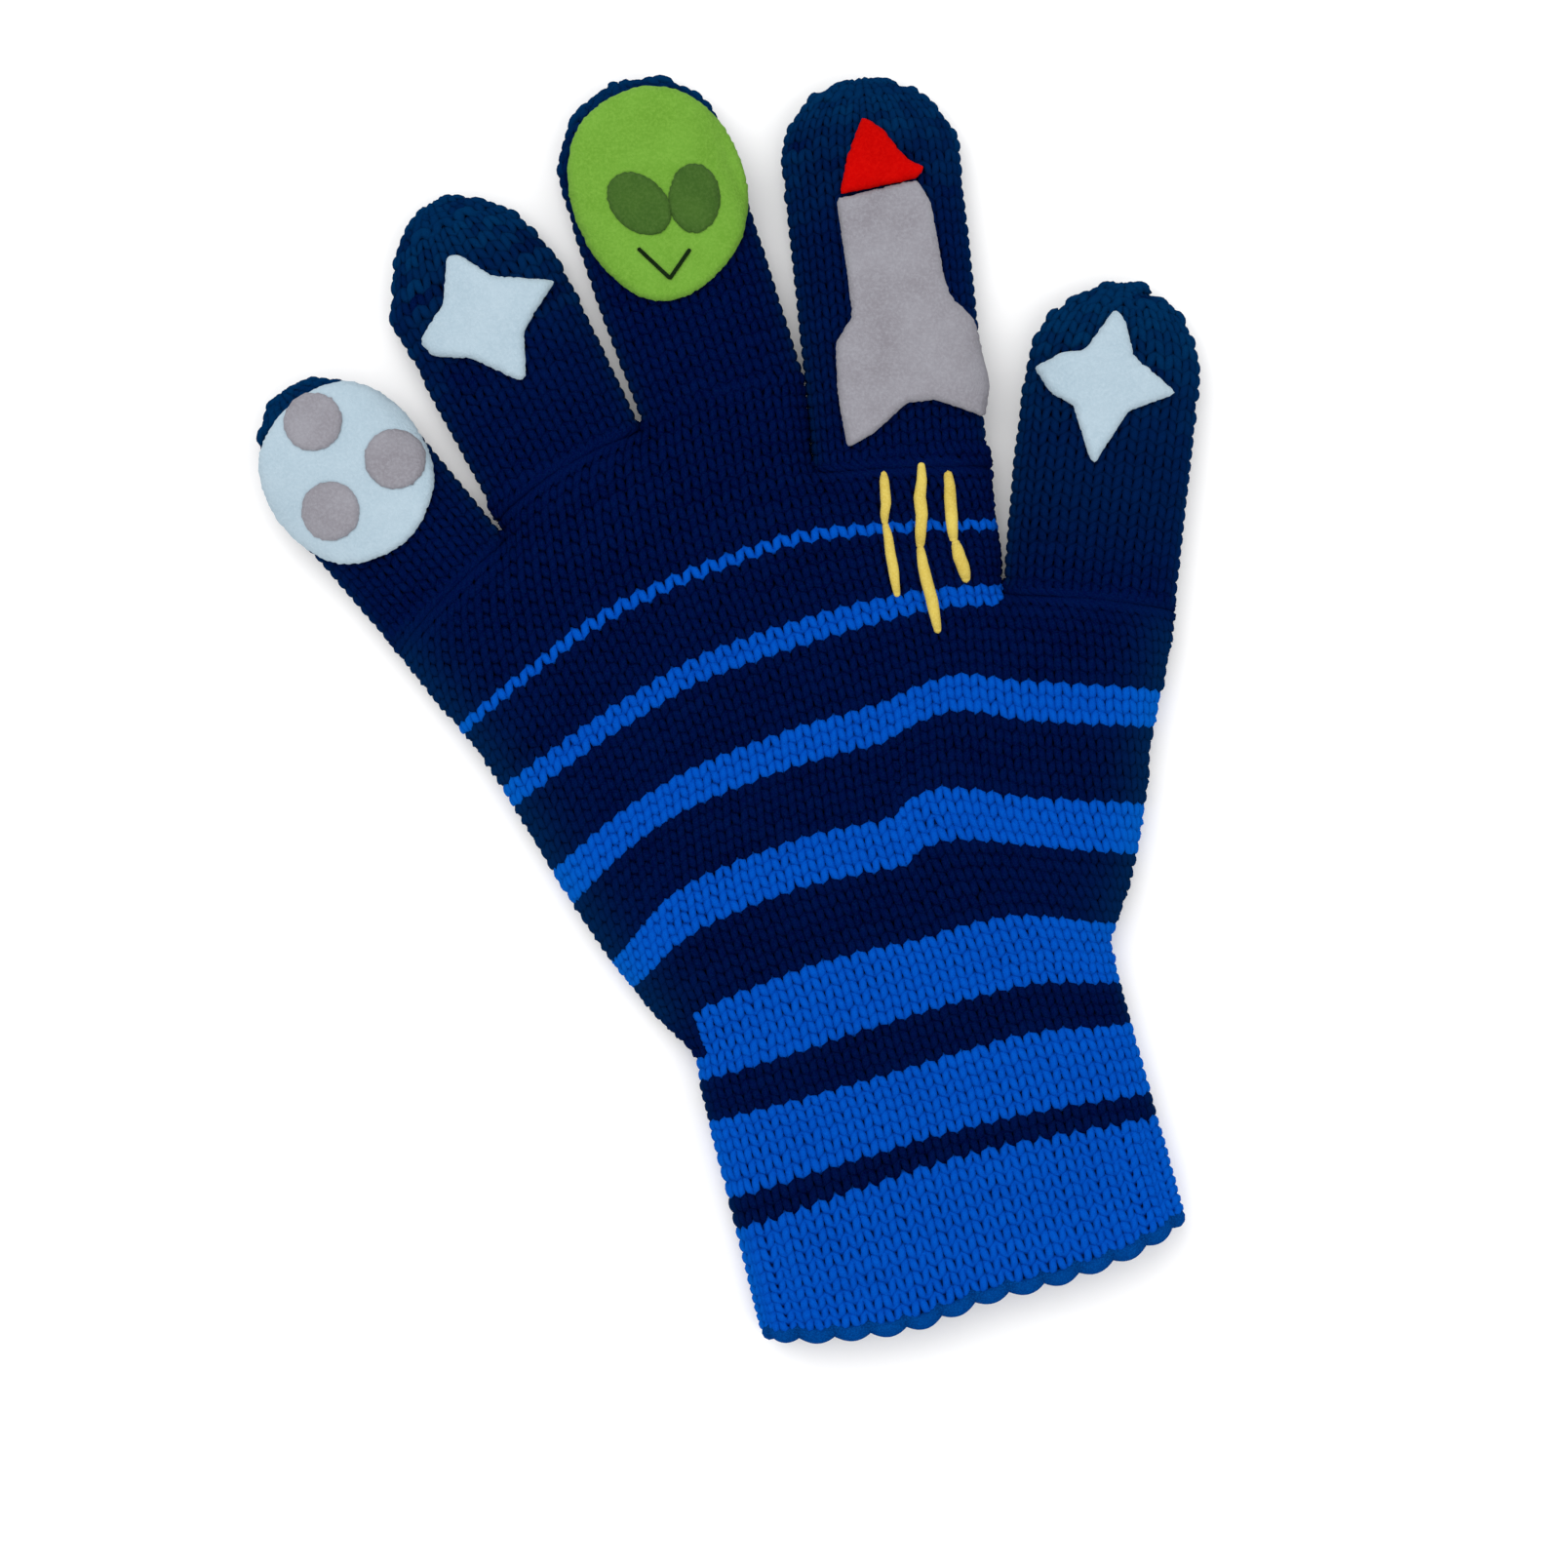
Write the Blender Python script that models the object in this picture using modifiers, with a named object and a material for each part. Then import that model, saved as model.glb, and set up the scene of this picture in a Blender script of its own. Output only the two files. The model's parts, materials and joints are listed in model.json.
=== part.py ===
"""A child's knitted glove for the right hand, lying on its back.

The fingers point along +Y, the palm side faces up (+Z) and the thumb is at +X.
The knit is made as hollow sleeves: five finger stalls, a palm in two sections and a cuff.
Felt shapes lie on the fingertips, and yarn stitches lie on the palm.
All driving dimensions are in millimetres and degrees; MM turns them into metres.
"""
import math

import bmesh
import bpy
from mathutils import Matrix, Vector
from mathutils.geometry import delaunay_2d_cdt

MM = 0.001
GAP = 0.3                  # clear space between neighbouring pieces
SEAM = 0.6                 # distance from a joint line to the sleeve that turns on it
WALL = 1.4                 # thickness of the knit
RIM_ROWS = [0.5, 2.0]       # distances from a sleeve's side at which its rounding is stepped
RIM_SPACING = 4.5           # spacing of points along a sleeve's side
GRID = 7.0                  # spacing of points on a sleeve's flat middle
CROWD = 1.0                 # two points inside a sleeve are never closer than this
EDGE_CLEAR = 0.45           # the least distance from a sleeve's border, as a share of CROWD or GRID
ROW_CLEAR = 0.97            # a rounding point stays unless another side is nearer than this share
GRID_INSET = 0.4            # how far inside the rounding the flat middle's points start, times GRID
TOUCH = 0.001               # closer than this to a side counts as on it
MERGE = 1e-5                # points of the plan closer than this are one

FINGER_THICK = 9.5
PALM_THICK = 10.5
FINGER_HINGE_Z = 10.0      # finger joints lie just above the knit, on the side it curls to
CUFF_HINGE_Z = 11.0

# Finger stalls: base is the middle of the joint line, lean is the angle from +Y towards -X,
# tip is the length of the rounded end.
FINGERS = {
    "little_finger": dict(base=(-36.0, 15.5), lean=41.1, length=33.6, width=19.8, tip=14.0),
    "ring_finger": dict(base=(-21.1, 31.5), lean=27.1, length=38.2, width=22.3, tip=15.5),
    "middle_finger": dict(base=(-0.6, 40.4), lean=19.7, length=42.9, width=21.2, tip=10.5),
    "index_finger": dict(base=(22.5, 32.6), lean=5.3, length=49.4, width=22.8, tip=10.5),
    "thumb": dict(base=(46.7, 14.7), lean=-6.0, length=40.8, width=21.6, tip=12.5),
}

# The palm's sides. Each list runs from the wrist upwards.
LOWER_LEFT_SIDE = [(-9.4, -38.7), (-15.4, -31.2), (-20.4, -23.7)]
UPPER_LEFT_SIDE = [(-29.4, -8.7), (-32.8, -3.7), (-37.3, 1.3), (-41.2, 6.3)]
LOWER_RIGHT_SIDE = [(50.3, -26.3), (51.9, -21.3), (52.9, -16.3), (54.0, -8.8),
                    (54.3, -3.7), (55.9, 3.7), (57.0, 9.0)]
UPPER_RIGHT_SIDE = [(35.0, 21.3), (34.1, 26.3)]
# The course where the four-finger section of the palm ends: an arc pulled towards its middle.
PALM_SPLIT = ((-26.2, -14.8), (2.0, 10.8), (35.1, 15.7))

CUFF_BASE = (22.6, -36.5)
CUFF_LEAN = -164.7
CUFF_WIDTH = 55.4
CUFF_LENGTH = 37.9
CUFF_SLANT = 0.04           # the hand opening is cut at a slight angle: rise along per unit across
CUFF_THICK = 10.5
EDGE_RADIUS = 0.8
ELASTIC_RADIUS = 0.4
ELASTIC_CLEAR = 0.4         # clear space between an elastic thread and the inside of the cuff
ELASTIC_POSITIONS = [6.0, 14.0, 22.0, 30.0]

TIP_STEPS = 10             # corners round a fingertip
SPLIT_STEPS = 8            # straight stretches along the palm's parting course
LOOP_STEPS = 6             # segments in each round end of a loop of thread
TUBE_STEPS = 2             # extra edges on each quarter of a thread's round section
OVAL_STEPS = 20            # corners round a large felt shape
SMALL_OVAL_STEPS = 14      # corners round a small one

FELT_THICK = 1.0
SMALL_FELT_THICK = 0.6
THREAD_RADIUS = 0.3
FLAME_RADIUS = 0.6

# Shapes on the fingers, across and along from the middle of the finger's joint line.
MOON = dict(center=(0.3, 19.5), radii=(10.4, 11.3))
CRATERS = [((1.3, 27.3), 3.7), ((6.2, 16.7), 3.9), ((-4.3, 17.3), 3.9)]
RING_STAR = dict(center=(0.1, 21.2), outer=9.6, inner=5.2, turn=2.0)
THUMB_STAR = dict(center=(-1.2, 27.2), outer=9.7, inner=4.8, turn=-2.0)
ALIEN_HEAD = dict(center=(1.1, 27.4), radii=(11.0, 13.6), turn=-9.0, egg=0.12)
ALIEN_EYES = {
    "alien_eye_left": dict(center=(-2.2, 26.7), radii=(4.3, 3.2), turn=-65.0),
    "alien_eye_right": dict(center=(5.2, 24.6), radii=(4.3, 2.9), turn=80.0),
}
ALIEN_SMILE = [(-3.9, 21.3), (-1.3, 16.4), (2.3, 18.9)]
ROCKET_NOSE = [(-5.2, 33.9), (5.1, 35.3), (6.2, 36.4), (-0.9, 44.1)]
ROCKET_BODY = [
    (-5.3, 33.5), (5.0, 34.9), (5.9, 33.8), (7.0, 24.0), (8.3, 19.0), (11.2, 15.5), (11.9, 8.4),
    (10.8, 4.1), (4.6, 7.0), (0.9, 6.9), (-7.0, 1.7), (-7.4, 15.4), (-5.0, 18.4), (-4.9, 23.0),
]
# Flame stitches on the palm: each thread goes down into the knit between its two stitches.
FLAME_THREADS = [
    [(20.3, 30.9), (20.5, 24.0), (21.6, 14.8)],
    [(24.9, 31.6), (24.8, 20.9), (26.9, 10.3)],
    [(28.4, 30.8), (29.3, 21.6), (30.6, 16.6)],
]

MATERIALS = {
    "navy_knit": ((0.006, 0.012, 0.055), 0.95),
    "blue_knit": ((0.006, 0.075, 0.45), 0.95),
    "pale_felt": ((0.50, 0.64, 0.72), 1.0),
    "grey_felt": ((0.34, 0.34, 0.38), 1.0),
    "green_felt": ((0.21, 0.48, 0.05), 1.0),
    "dark_green_felt": ((0.06, 0.14, 0.03), 1.0),
    "red_felt": ((0.60, 0.005, 0.003), 1.0),
    "yellow_yarn": ((0.75, 0.60, 0.14), 0.9),
    "black_thread": ((0.01, 0.02, 0.01), 0.8),
    "elastic_thread": ((0.70, 0.70, 0.68), 0.7),
}


def clear_scene():
    for old in list(bpy.data.objects):
        bpy.data.objects.remove(old, do_unlink=True)


def make_collection(name):
    collection = bpy.data.collections.new(name)
    bpy.context.scene.collection.children.link(collection)
    return collection


def make_materials():
    made = {}
    for name, (color, roughness) in MATERIALS.items():
        material = bpy.data.materials.new(name)
        material.use_nodes = True
        shader = material.node_tree.nodes["Principled BSDF"]
        shader.inputs["Base Color"].default_value = (*color, 1.0)
        shader.inputs["Roughness"].default_value = roughness
        shader.inputs["Metallic"].default_value = 0.0
        made[name] = material
    return made


def make_pivot(name, base, height, lean):
    """An empty on a joint's axis: its X runs along the joint line and its Y along the sleeve."""
    pivot = bpy.data.objects.new(name, None)
    pivot.location = (base[0] * MM, base[1] * MM, height * MM)
    pivot.rotation_euler = (0.0, 0.0, math.radians(lean))
    PARTS.objects.link(pivot)
    return pivot


def add_mesh(name, mesh, material, pivot=None):
    piece = bpy.data.objects.new(name, mesh)
    piece.data.materials.append(MADE_MATERIALS[material])
    piece.parent = pivot
    PARTS.objects.link(piece)
    return piece


def rounding(distance, half_thick):
    """Height above a sleeve's middle plane at a distance from its side."""
    share = min(1.0, distance / half_thick)
    return half_thick * math.sqrt(1.0 - (1.0 - share) ** 2)


def distance_to_edge(point, start, end):
    along = end - start
    share = max(0.0, min(1.0, (point - start).dot(along) / along.length_squared))
    return (point - start - along * share).length


def edge_points(start, end, spacing, near_start=(), near_end=()):
    """Points along one edge, without its end: evenly spaced between closer ones at either end."""
    along = end - start
    length = along.length
    first = near_start[-1] if near_start else 0.0
    last = length - (near_end[-1] if near_end else 0.0)
    count = max(1, round((last - first) / spacing))
    steps = [0.0] + list(near_start) if near_start else [0.0]
    steps += [first + (last - first) * step / count for step in range(1, count)]
    steps += [length - row for row in reversed(near_end)]
    return [start + along * (step / length) for step in steps]


def is_clear(point, others, least):
    return all((point - other).length > least for other in others)


def side_distance(point, sides):
    return min(distance_to_edge(point, start, end) for start, end in sides)


def border_points(edges, rows):
    """Points round a sleeve's plan; an open end starts and stops with the rounding's own rows."""
    border = []
    for index, (start, end, is_open) in enumerate(edges):
        if is_open:
            near_start = () if edges[index - 1][2] else rows
            near_end = () if edges[(index + 1) % len(edges)][2] else rows
            border += edge_points(start, end, GRID, near_start, near_end)
        else:
            border += edge_points(start, end, RIM_SPACING)
    return border


def rounding_points(corners, sides, rows):
    """Rows of points along the sides, where a sleeve rounds over."""
    points = []
    for start, end in sides:
        inward = Vector((start.y - end.y, end.x - start.x)).normalized()
        for point in edge_points(start, end, RIM_SPACING):
            for row in rows:
                shifted = point + inward * row
                if is_inside(shifted, corners) and side_distance(shifted, sides) > row * ROW_CLEAR:
                    points.append(shifted)
    return points


def grid_points(corners, sides, inset):
    """A grid of points over a sleeve's flat middle."""
    low_x, high_x = min(corner.x for corner in corners), max(corner.x for corner in corners)
    low_y, high_y = min(corner.y for corner in corners), max(corner.y for corner in corners)
    points = []
    for step_x in range(int((high_x - low_x) / GRID) + 1):
        for step_y in range(int((high_y - low_y) / GRID) + 1):
            point = Vector((low_x + GRID * (step_x + 0.5), low_y + GRID * (step_y + 0.5)))
            if is_inside(point, corners) and side_distance(point, sides) > inset:
                points.append(point)
    return points


def sleeve_mesh(outline, thick, middle):
    """A puffed tube lying flat. outline is (x, y, is_open) points, counterclockwise, in millimetres.

    is_open is true where the edge to the next point is an end of the tube; every other edge is a
    rounded side, where the upper and lower faces meet.
    """
    rows = RIM_ROWS + [thick / 2]
    corners = [Vector((x, y)) for x, y, is_open in outline]
    edges = [(corners[index], corners[(index + 1) % len(corners)], outline[index][2])
             for index in range(len(corners))]
    sides = [(start, end) for start, end, is_open in edges if not is_open]
    border = border_points(edges, rows)
    inside = []
    for point in rounding_points(corners, sides, rows):
        if is_clear(point, border, CROWD * EDGE_CLEAR) and is_clear(point, inside, CROWD):
            inside.append(point)
    for point in grid_points(corners, sides, thick / 2 + GRID * GRID_INSET):
        if is_clear(point, border, GRID * EDGE_CLEAR) and is_clear(point, inside, CROWD):
            inside.append(point)
    loop = list(range(len(border)))
    spots, _, triangles, _, _, _ = delaunay_2d_cdt(border + inside, [], [loop], 1, MERGE)
    distances = [side_distance(spot, sides) for spot in spots]
    heights = [rounding(distance, thick / 2) if distance > TOUCH else 0.0 for distance in distances]
    return puffed_mesh(spots, heights, middle, triangles)


def puffed_mesh(spots, heights, middle, triangles):
    """Two facing sheets over one plan, joined wherever the height is zero."""
    work = bmesh.new()
    upper, lower = [], []
    for spot, height in zip(spots, heights):
        upper.append(work.verts.new(Vector((spot.x, spot.y, middle + height)) * MM))
        if height:
            lower.append(work.verts.new(Vector((spot.x, spot.y, middle - height)) * MM))
        else:
            lower.append(upper[-1])
    for triangle in triangles:
        first, second, third = (spots[index] for index in triangle)
        if (second - first).cross(third - first) < 0:
            triangle = triangle[::-1]
        work.faces.new([upper[index] for index in triangle])
        work.faces.new([lower[index] for index in reversed(triangle)])
    mesh = bpy.data.meshes.new("sleeve")
    work.to_mesh(mesh)
    work.free()
    return mesh


def is_inside(point, corners):
    """Whether a point lies inside a polygon, by counting the edges to its right."""
    inside = False
    for start, end in zip(corners, corners[1:] + corners[:1]):
        if (start.y > point.y) != (end.y > point.y):
            crossing = start.x + (point.y - start.y) / (end.y - start.y) * (end.x - start.x)
            if point.x < crossing:
                inside = not inside
    return inside


def add_sleeve(name, outline, thick, middle, material, pivot=None):
    sleeve = add_mesh(name, sleeve_mesh(outline, thick, middle), material, pivot)
    wall = sleeve.modifiers.new("wall", "SOLIDIFY")
    wall.thickness = WALL * MM
    wall.offset = -1.0
    return sleeve


def make_finger(name):
    """A finger stall: closed at the tip, open at the joint line."""
    finger = FINGERS[name]
    pivot = make_pivot(name + "_joint", finger["base"], FINGER_HINGE_Z, finger["lean"])
    half, tip, start = finger["width"] / 2, finger["tip"], SEAM
    straight_end = finger["length"] - tip
    outline = [(-half, start, True), (half, start, False)]
    for step in range(TIP_STEPS + 1):
        angle = math.pi * step / TIP_STEPS
        outline.append((half * math.cos(angle), straight_end + tip * math.sin(angle), False))
    add_sleeve(name, outline, FINGER_THICK, FINGER_THICK / 2 - FINGER_HINGE_Z, "navy_knit", pivot)
    return pivot


def joint_line(base, lean, width):
    """The two ends of a sleeve's joint line, on the palm's side of the gap, its own right end first."""
    turn = Matrix.Rotation(math.radians(lean), 2)
    return [Vector(base) + turn @ Vector((side * width / 2, -GAP / 2)) for side in (1, -1)]


def finger_line(name):
    finger = FINGERS[name]
    return joint_line(finger["base"], finger["lean"], finger["width"])


def split_curve(offset):
    """Points along the course that parts the palm, from left to right, moved along +Y by offset."""
    start, pull, end = (Vector(point) for point in PALM_SPLIT)
    points = []
    for step in range(SPLIT_STEPS + 1):
        t = step / SPLIT_STEPS
        point = start * (1 - t) ** 2 + pull * 2 * t * (1 - t) + end * t ** 2
        points.append((point.x, point.y + offset))
    return points


def make_palm():
    """The palm's two sections, with a gap of one thread along the course that parts them."""
    middle = PALM_THICK / 2
    upper = [(x, y, True) for x, y in split_curve(GAP / 2)[:-1]]
    upper += [(*split_curve(GAP / 2)[-1], False)]
    upper += [(x, y, False) for x, y in UPPER_RIGHT_SIDE]
    for name in ("index_finger", "middle_finger", "ring_finger", "little_finger"):
        right, left = finger_line(name)
        upper += [(*right, True), (*left, False)]
    upper += [(x, y, False) for x, y in reversed(UPPER_LEFT_SIDE)]
    add_sleeve("upper_palm", upper, PALM_THICK, middle, "navy_knit")

    wrist_left, wrist_right = joint_line(CUFF_BASE, CUFF_LEAN, CUFF_WIDTH)
    right, left = finger_line("thumb")
    lower = [(*wrist_left, True), (*wrist_right, False)]
    lower += [(x, y, False) for x, y in LOWER_RIGHT_SIDE]
    lower += [(*right, True), (*left, False)]
    lower += [(x, y, True) for x, y in reversed(split_curve(-GAP / 2)[1:])]
    lower += [(*split_curve(-GAP / 2)[0], False)]
    lower += [(x, y, False) for x, y in reversed(LOWER_LEFT_SIDE)]
    add_sleeve("lower_palm", lower, PALM_THICK, middle, "navy_knit")


def make_cuff():
    """The cuff: an open tube from the wrist to the hand opening."""
    pivot = make_pivot("cuff_joint", CUFF_BASE, CUFF_HINGE_Z, CUFF_LEAN)
    end = CUFF_LENGTH - 2 * EDGE_RADIUS - GAP
    half = CUFF_WIDTH / 2
    rise = half * CUFF_SLANT
    outline = [(-half, SEAM, True), (half, SEAM, False), (half, end + rise, True),
               (-half, end - rise, False)]
    add_sleeve("ribbed_cuff", outline, CUFF_THICK, CUFF_THICK / 2 - CUFF_HINGE_Z, "blue_knit", pivot)
    return pivot


def loop_points(along, width, thick, middle, slant):
    """Points round a flattened tube at one place along it."""
    radius = thick / 2
    flat = width / 2 - radius
    points = []
    for side in (1, -1):
        for step in range(LOOP_STEPS + 1):
            angle = math.pi * (step / LOOP_STEPS - 0.5)
            across = side * (flat + radius * math.cos(angle))
            points.append((across, along + slant * across, middle + side * radius * math.sin(angle)))
    return points


def add_loop(name, pivot, along, inset, radius, material, slant=0.0):
    """A thread that runs once round the cuff, inset from its outer face."""
    curve = bpy.data.curves.new(name, "CURVE")
    curve.dimensions = "3D"
    curve.bevel_depth = radius * MM
    curve.bevel_resolution = TUBE_STEPS
    curve.resolution_u = 1
    middle = CUFF_THICK / 2 - CUFF_HINGE_Z
    ring = loop_points(along, CUFF_WIDTH - 2 * inset, CUFF_THICK - 2 * inset, middle, slant)
    add_spline(curve, ring, True)
    loop = bpy.data.objects.new(name, curve)
    loop.data.materials.append(MADE_MATERIALS[material])
    loop.parent = pivot
    PARTS.objects.link(loop)


def add_spline(curve, points, cyclic):
    spline = curve.splines.new("POLY")
    spline.points.add(len(points) - 1)
    for target, point in zip(spline.points, points):
        target.co = (*(Vector(point) * MM), 1.0)
    spline.use_cyclic_u = cyclic


def add_thread(name, pivot, points, radius, material):
    """A straight or bent stitch: a tube through a few points, with closed ends."""
    curve = bpy.data.curves.new(name, "CURVE")
    curve.dimensions = "3D"
    curve.bevel_depth = radius * MM
    curve.bevel_resolution = TUBE_STEPS
    curve.resolution_u = 1
    curve.use_fill_caps = True
    add_spline(curve, points, False)
    thread = bpy.data.objects.new(name, curve)
    thread.data.materials.append(MADE_MATERIALS[material])
    thread.parent = pivot
    PARTS.objects.link(thread)


def add_felt(name, pivot, outline, bottom, thick, material):
    """A flat felt shape whose underside lies at bottom, in the pivot's frame."""
    curve = bpy.data.curves.new(name, "CURVE")
    curve.dimensions = "2D"
    curve.fill_mode = "BOTH"
    curve.extrude = thick / 2 * MM
    add_spline(curve, [(x, y, 0.0) for x, y in outline], True)
    felt = bpy.data.objects.new(name, curve)
    felt.data.materials.append(MADE_MATERIALS[material])
    felt.parent = pivot
    felt.location = (0.0, 0.0, (bottom + thick / 2) * MM)
    PARTS.objects.link(felt)


def oval(center, radii, turn=0.0, egg=0.0, steps=OVAL_STEPS):
    """An ellipse; egg makes its +Y half wider than its -Y half."""
    swing = math.radians(turn)
    points = []
    for step in range(steps):
        angle = 2 * math.pi * step / steps
        x = radii[0] * math.cos(angle) * (1 + egg * math.sin(angle))
        y = radii[1] * math.sin(angle)
        points.append((center[0] + x * math.cos(swing) - y * math.sin(swing),
                       center[1] + x * math.sin(swing) + y * math.cos(swing)))
    return points


def star(center, outer, inner, turn):
    """A four-point star with one point along +Y."""
    points = []
    for step in range(8):
        angle = math.radians(90 + turn + 45 * step)
        radius = inner if step % 2 else outer
        points.append((center[0] + radius * math.cos(angle), center[1] + radius * math.sin(angle)))
    return points


def dress_fingers(pivots):
    """The felt shapes and the thread smile."""
    low = FINGER_THICK - FINGER_HINGE_Z + GAP
    high = low + FELT_THICK + GAP
    add_felt("moon_patch", pivots["little_finger"], oval(**MOON), low, FELT_THICK, "pale_felt")
    for number, (center, radius) in enumerate(CRATERS, 1):
        add_felt("moon_crater_" + str(number), pivots["little_finger"],
                 oval(center, (radius, radius), steps=SMALL_OVAL_STEPS), high, SMALL_FELT_THICK, "grey_felt")
    add_felt("ring_star_patch", pivots["ring_finger"], star(**RING_STAR), low, FELT_THICK, "pale_felt")
    add_felt("thumb_star_patch", pivots["thumb"], star(**THUMB_STAR), low, FELT_THICK, "pale_felt")
    add_felt("alien_head_patch", pivots["middle_finger"], oval(**ALIEN_HEAD), low, FELT_THICK, "green_felt")
    for name, eye in ALIEN_EYES.items():
        add_felt(name, pivots["middle_finger"], oval(steps=SMALL_OVAL_STEPS, **eye), high,
                 SMALL_FELT_THICK, "dark_green_felt")
    smile = [(x, y, high + THREAD_RADIUS) for x, y in ALIEN_SMILE]
    add_thread("alien_smile", pivots["middle_finger"], smile, THREAD_RADIUS, "black_thread")
    add_felt("rocket_nose", pivots["index_finger"], ROCKET_NOSE, low, FELT_THICK, "red_felt")
    add_felt("rocket_body", pivots["index_finger"], ROCKET_BODY, low, FELT_THICK, "grey_felt")


def make_flames():
    """Six straight stitches, two to a thread, with a gap where the thread dives."""
    height = PALM_THICK + GAP + FLAME_RADIUS
    number = 1
    for start, dive, end in FLAME_THREADS:
        for first, second in ((start, dive), (dive, end)):
            first, second = Vector(first), Vector(second)
            step = (second - first).normalized() * GAP
            points = [(*(first + step), height), (*(second - step), height)]
            add_thread("flame_stitch_" + str(number), None, points, FLAME_RADIUS, "yellow_yarn")
            number += 1


def make_cuff_trim(pivot):
    add_loop("cuff_edge", pivot, CUFF_LENGTH - EDGE_RADIUS, EDGE_RADIUS, EDGE_RADIUS, "blue_knit",
             CUFF_SLANT)
    inset = WALL + ELASTIC_CLEAR + ELASTIC_RADIUS
    for number, along in enumerate(ELASTIC_POSITIONS, 1):
        add_loop("cuff_elastic_" + str(number), pivot, along, inset, ELASTIC_RADIUS, "elastic_thread")


clear_scene()
PARTS = make_collection("knitted_glove")
MADE_MATERIALS = make_materials()
finger_pivots = {finger_name: make_finger(finger_name) for finger_name in FINGERS}
make_palm()
make_cuff_trim(make_cuff())
dress_fingers(finger_pivots)
make_flames()
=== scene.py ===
"""A child's knitted glove with felt space shapes, made stitch by stitch around its CAD frame.

Lengths inside this script are in millimetres; MM turns them into metres when a mesh is made.
The knit is built from courses (rows of loops across the hand) and wales (columns along it).
Courses are numbered from the finger roots (negative) through the palm to the hem of the cuff.
"""
import json
import math

import bpy
import numpy as np
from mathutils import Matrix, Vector
from mathutils.geometry import delaunay_2d_cdt
from mathutils.kdtree import KDTree


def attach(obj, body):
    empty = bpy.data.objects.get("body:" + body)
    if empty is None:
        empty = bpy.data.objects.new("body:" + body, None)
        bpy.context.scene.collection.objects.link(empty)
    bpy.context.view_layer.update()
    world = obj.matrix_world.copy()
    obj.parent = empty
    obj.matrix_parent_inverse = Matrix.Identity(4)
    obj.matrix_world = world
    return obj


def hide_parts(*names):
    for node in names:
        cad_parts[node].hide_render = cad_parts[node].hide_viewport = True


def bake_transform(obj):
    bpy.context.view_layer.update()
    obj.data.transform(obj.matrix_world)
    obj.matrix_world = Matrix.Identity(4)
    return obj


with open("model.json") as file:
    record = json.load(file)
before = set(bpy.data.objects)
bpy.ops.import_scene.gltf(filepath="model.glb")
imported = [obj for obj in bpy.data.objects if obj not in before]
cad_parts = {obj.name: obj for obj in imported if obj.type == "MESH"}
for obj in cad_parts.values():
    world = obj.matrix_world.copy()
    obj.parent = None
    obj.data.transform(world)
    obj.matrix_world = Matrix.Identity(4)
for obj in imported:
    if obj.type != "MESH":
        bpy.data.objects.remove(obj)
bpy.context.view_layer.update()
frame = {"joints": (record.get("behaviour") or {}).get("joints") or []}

MM = 0.001
RANDOM = np.random.default_rng(7)

# ---- dimensions
WALE = 2.28                # usual width of a stitch
COURSE = 1.56              # usual height of a stitch
YARN = 0.55                # radius of the knitting yarn
EDGE = 0.45                # how far the yarn's centre lies inside the glove's outline
SWING = 0.50               # a course's yarn swings this share of a course up and down
LEAN = 0.06                # sideways swing of a stitch's legs, as a share of its width
DEPTH = 0.20               # how far legs stand in front of heads
SAMPLES = 14               # points of yarn path per stitch
SIDES = 5                  # corners of the yarn's section
LEAST_RUN = 5              # fewest points of yarn path that are worth a piece of yarn

SIDE_Z = 3.9               # height of the glove's outline above the floor, at the yarn's centre
TOP_Z = 8.9                # height of the palm's upper side, away from its edges
STALL_TOP_Z = TOP_Z - 0.1
BOTTOM_Z = 0.85
UPPER_ROUND = 8.5          # distance from the outline over which the upper side rounds over
LOWER_ROUND = 4.5
CROSSING = 3.0             # slope at which the two sides cross over past the outline
UNEVEN = 0.04              # slow unevenness of the upper side, as a share of its height
CREASE, CREASE_WIDTH = 0.17, 2.6   # the crease down from the thumb's crotch
CREASE_END, CREASE_FADE = -32.0, 40.0
LINING = 0.62              # how far the inner layer, painted darker than the yarn as painted shade, lies inside the yarn's centre
LINING_THICK = 0.25

CAP = 0.6                  # a yarn's end stands out by this share of its radius
PALM_DRIFT = 0.035         # random drift of a palm stitch's place, as a share of its size
TUBE_DRIFT = 0.03          # the same for the fingers and the cuff
RADIUS_DRIFT = 0.05
TONE_DRIFT = 0.16

# Finger stalls: half widths to the left and right of the joint's middle, length and rounded end;
# drift is the tip's sideways lean.
FINGERS = {
    "little": dict(left=9.9, right=10.4, length=33.6, tip=14.0, drift=0.3),
    "ring": dict(left=11.0, right=11.4, length=38.2, tip=15.5, drift=0.2),
    "middle": dict(left=11.1, right=11.1, length=42.9, tip=10.5, drift=1.0),
    "index": dict(left=11.5, right=11.3, length=49.4, tip=10.5, drift=-0.6),
    "thumb": dict(left=11.5, right=10.9, length=40.8, tip=12.5, drift=0.5),
}
FINGER_ROOM = 16.0         # how far the palm's height field runs on into each finger
CUFF_ROOM = 8.0            # and past the end of the cuff
JOIN = 1.3                 # how far palm courses run on past a finger's joint line
DIP_START, DIP = 0.3, 0.7  # from where, and how far, they dip under the finger's first course
LINING_JOIN = 1.2          # how far the palm's lining runs on
FINGER_MARGIN = 0.5        # how far a finger's ground reaches past its sides
FINGER_GROUND = 24.0       # and along it

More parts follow.
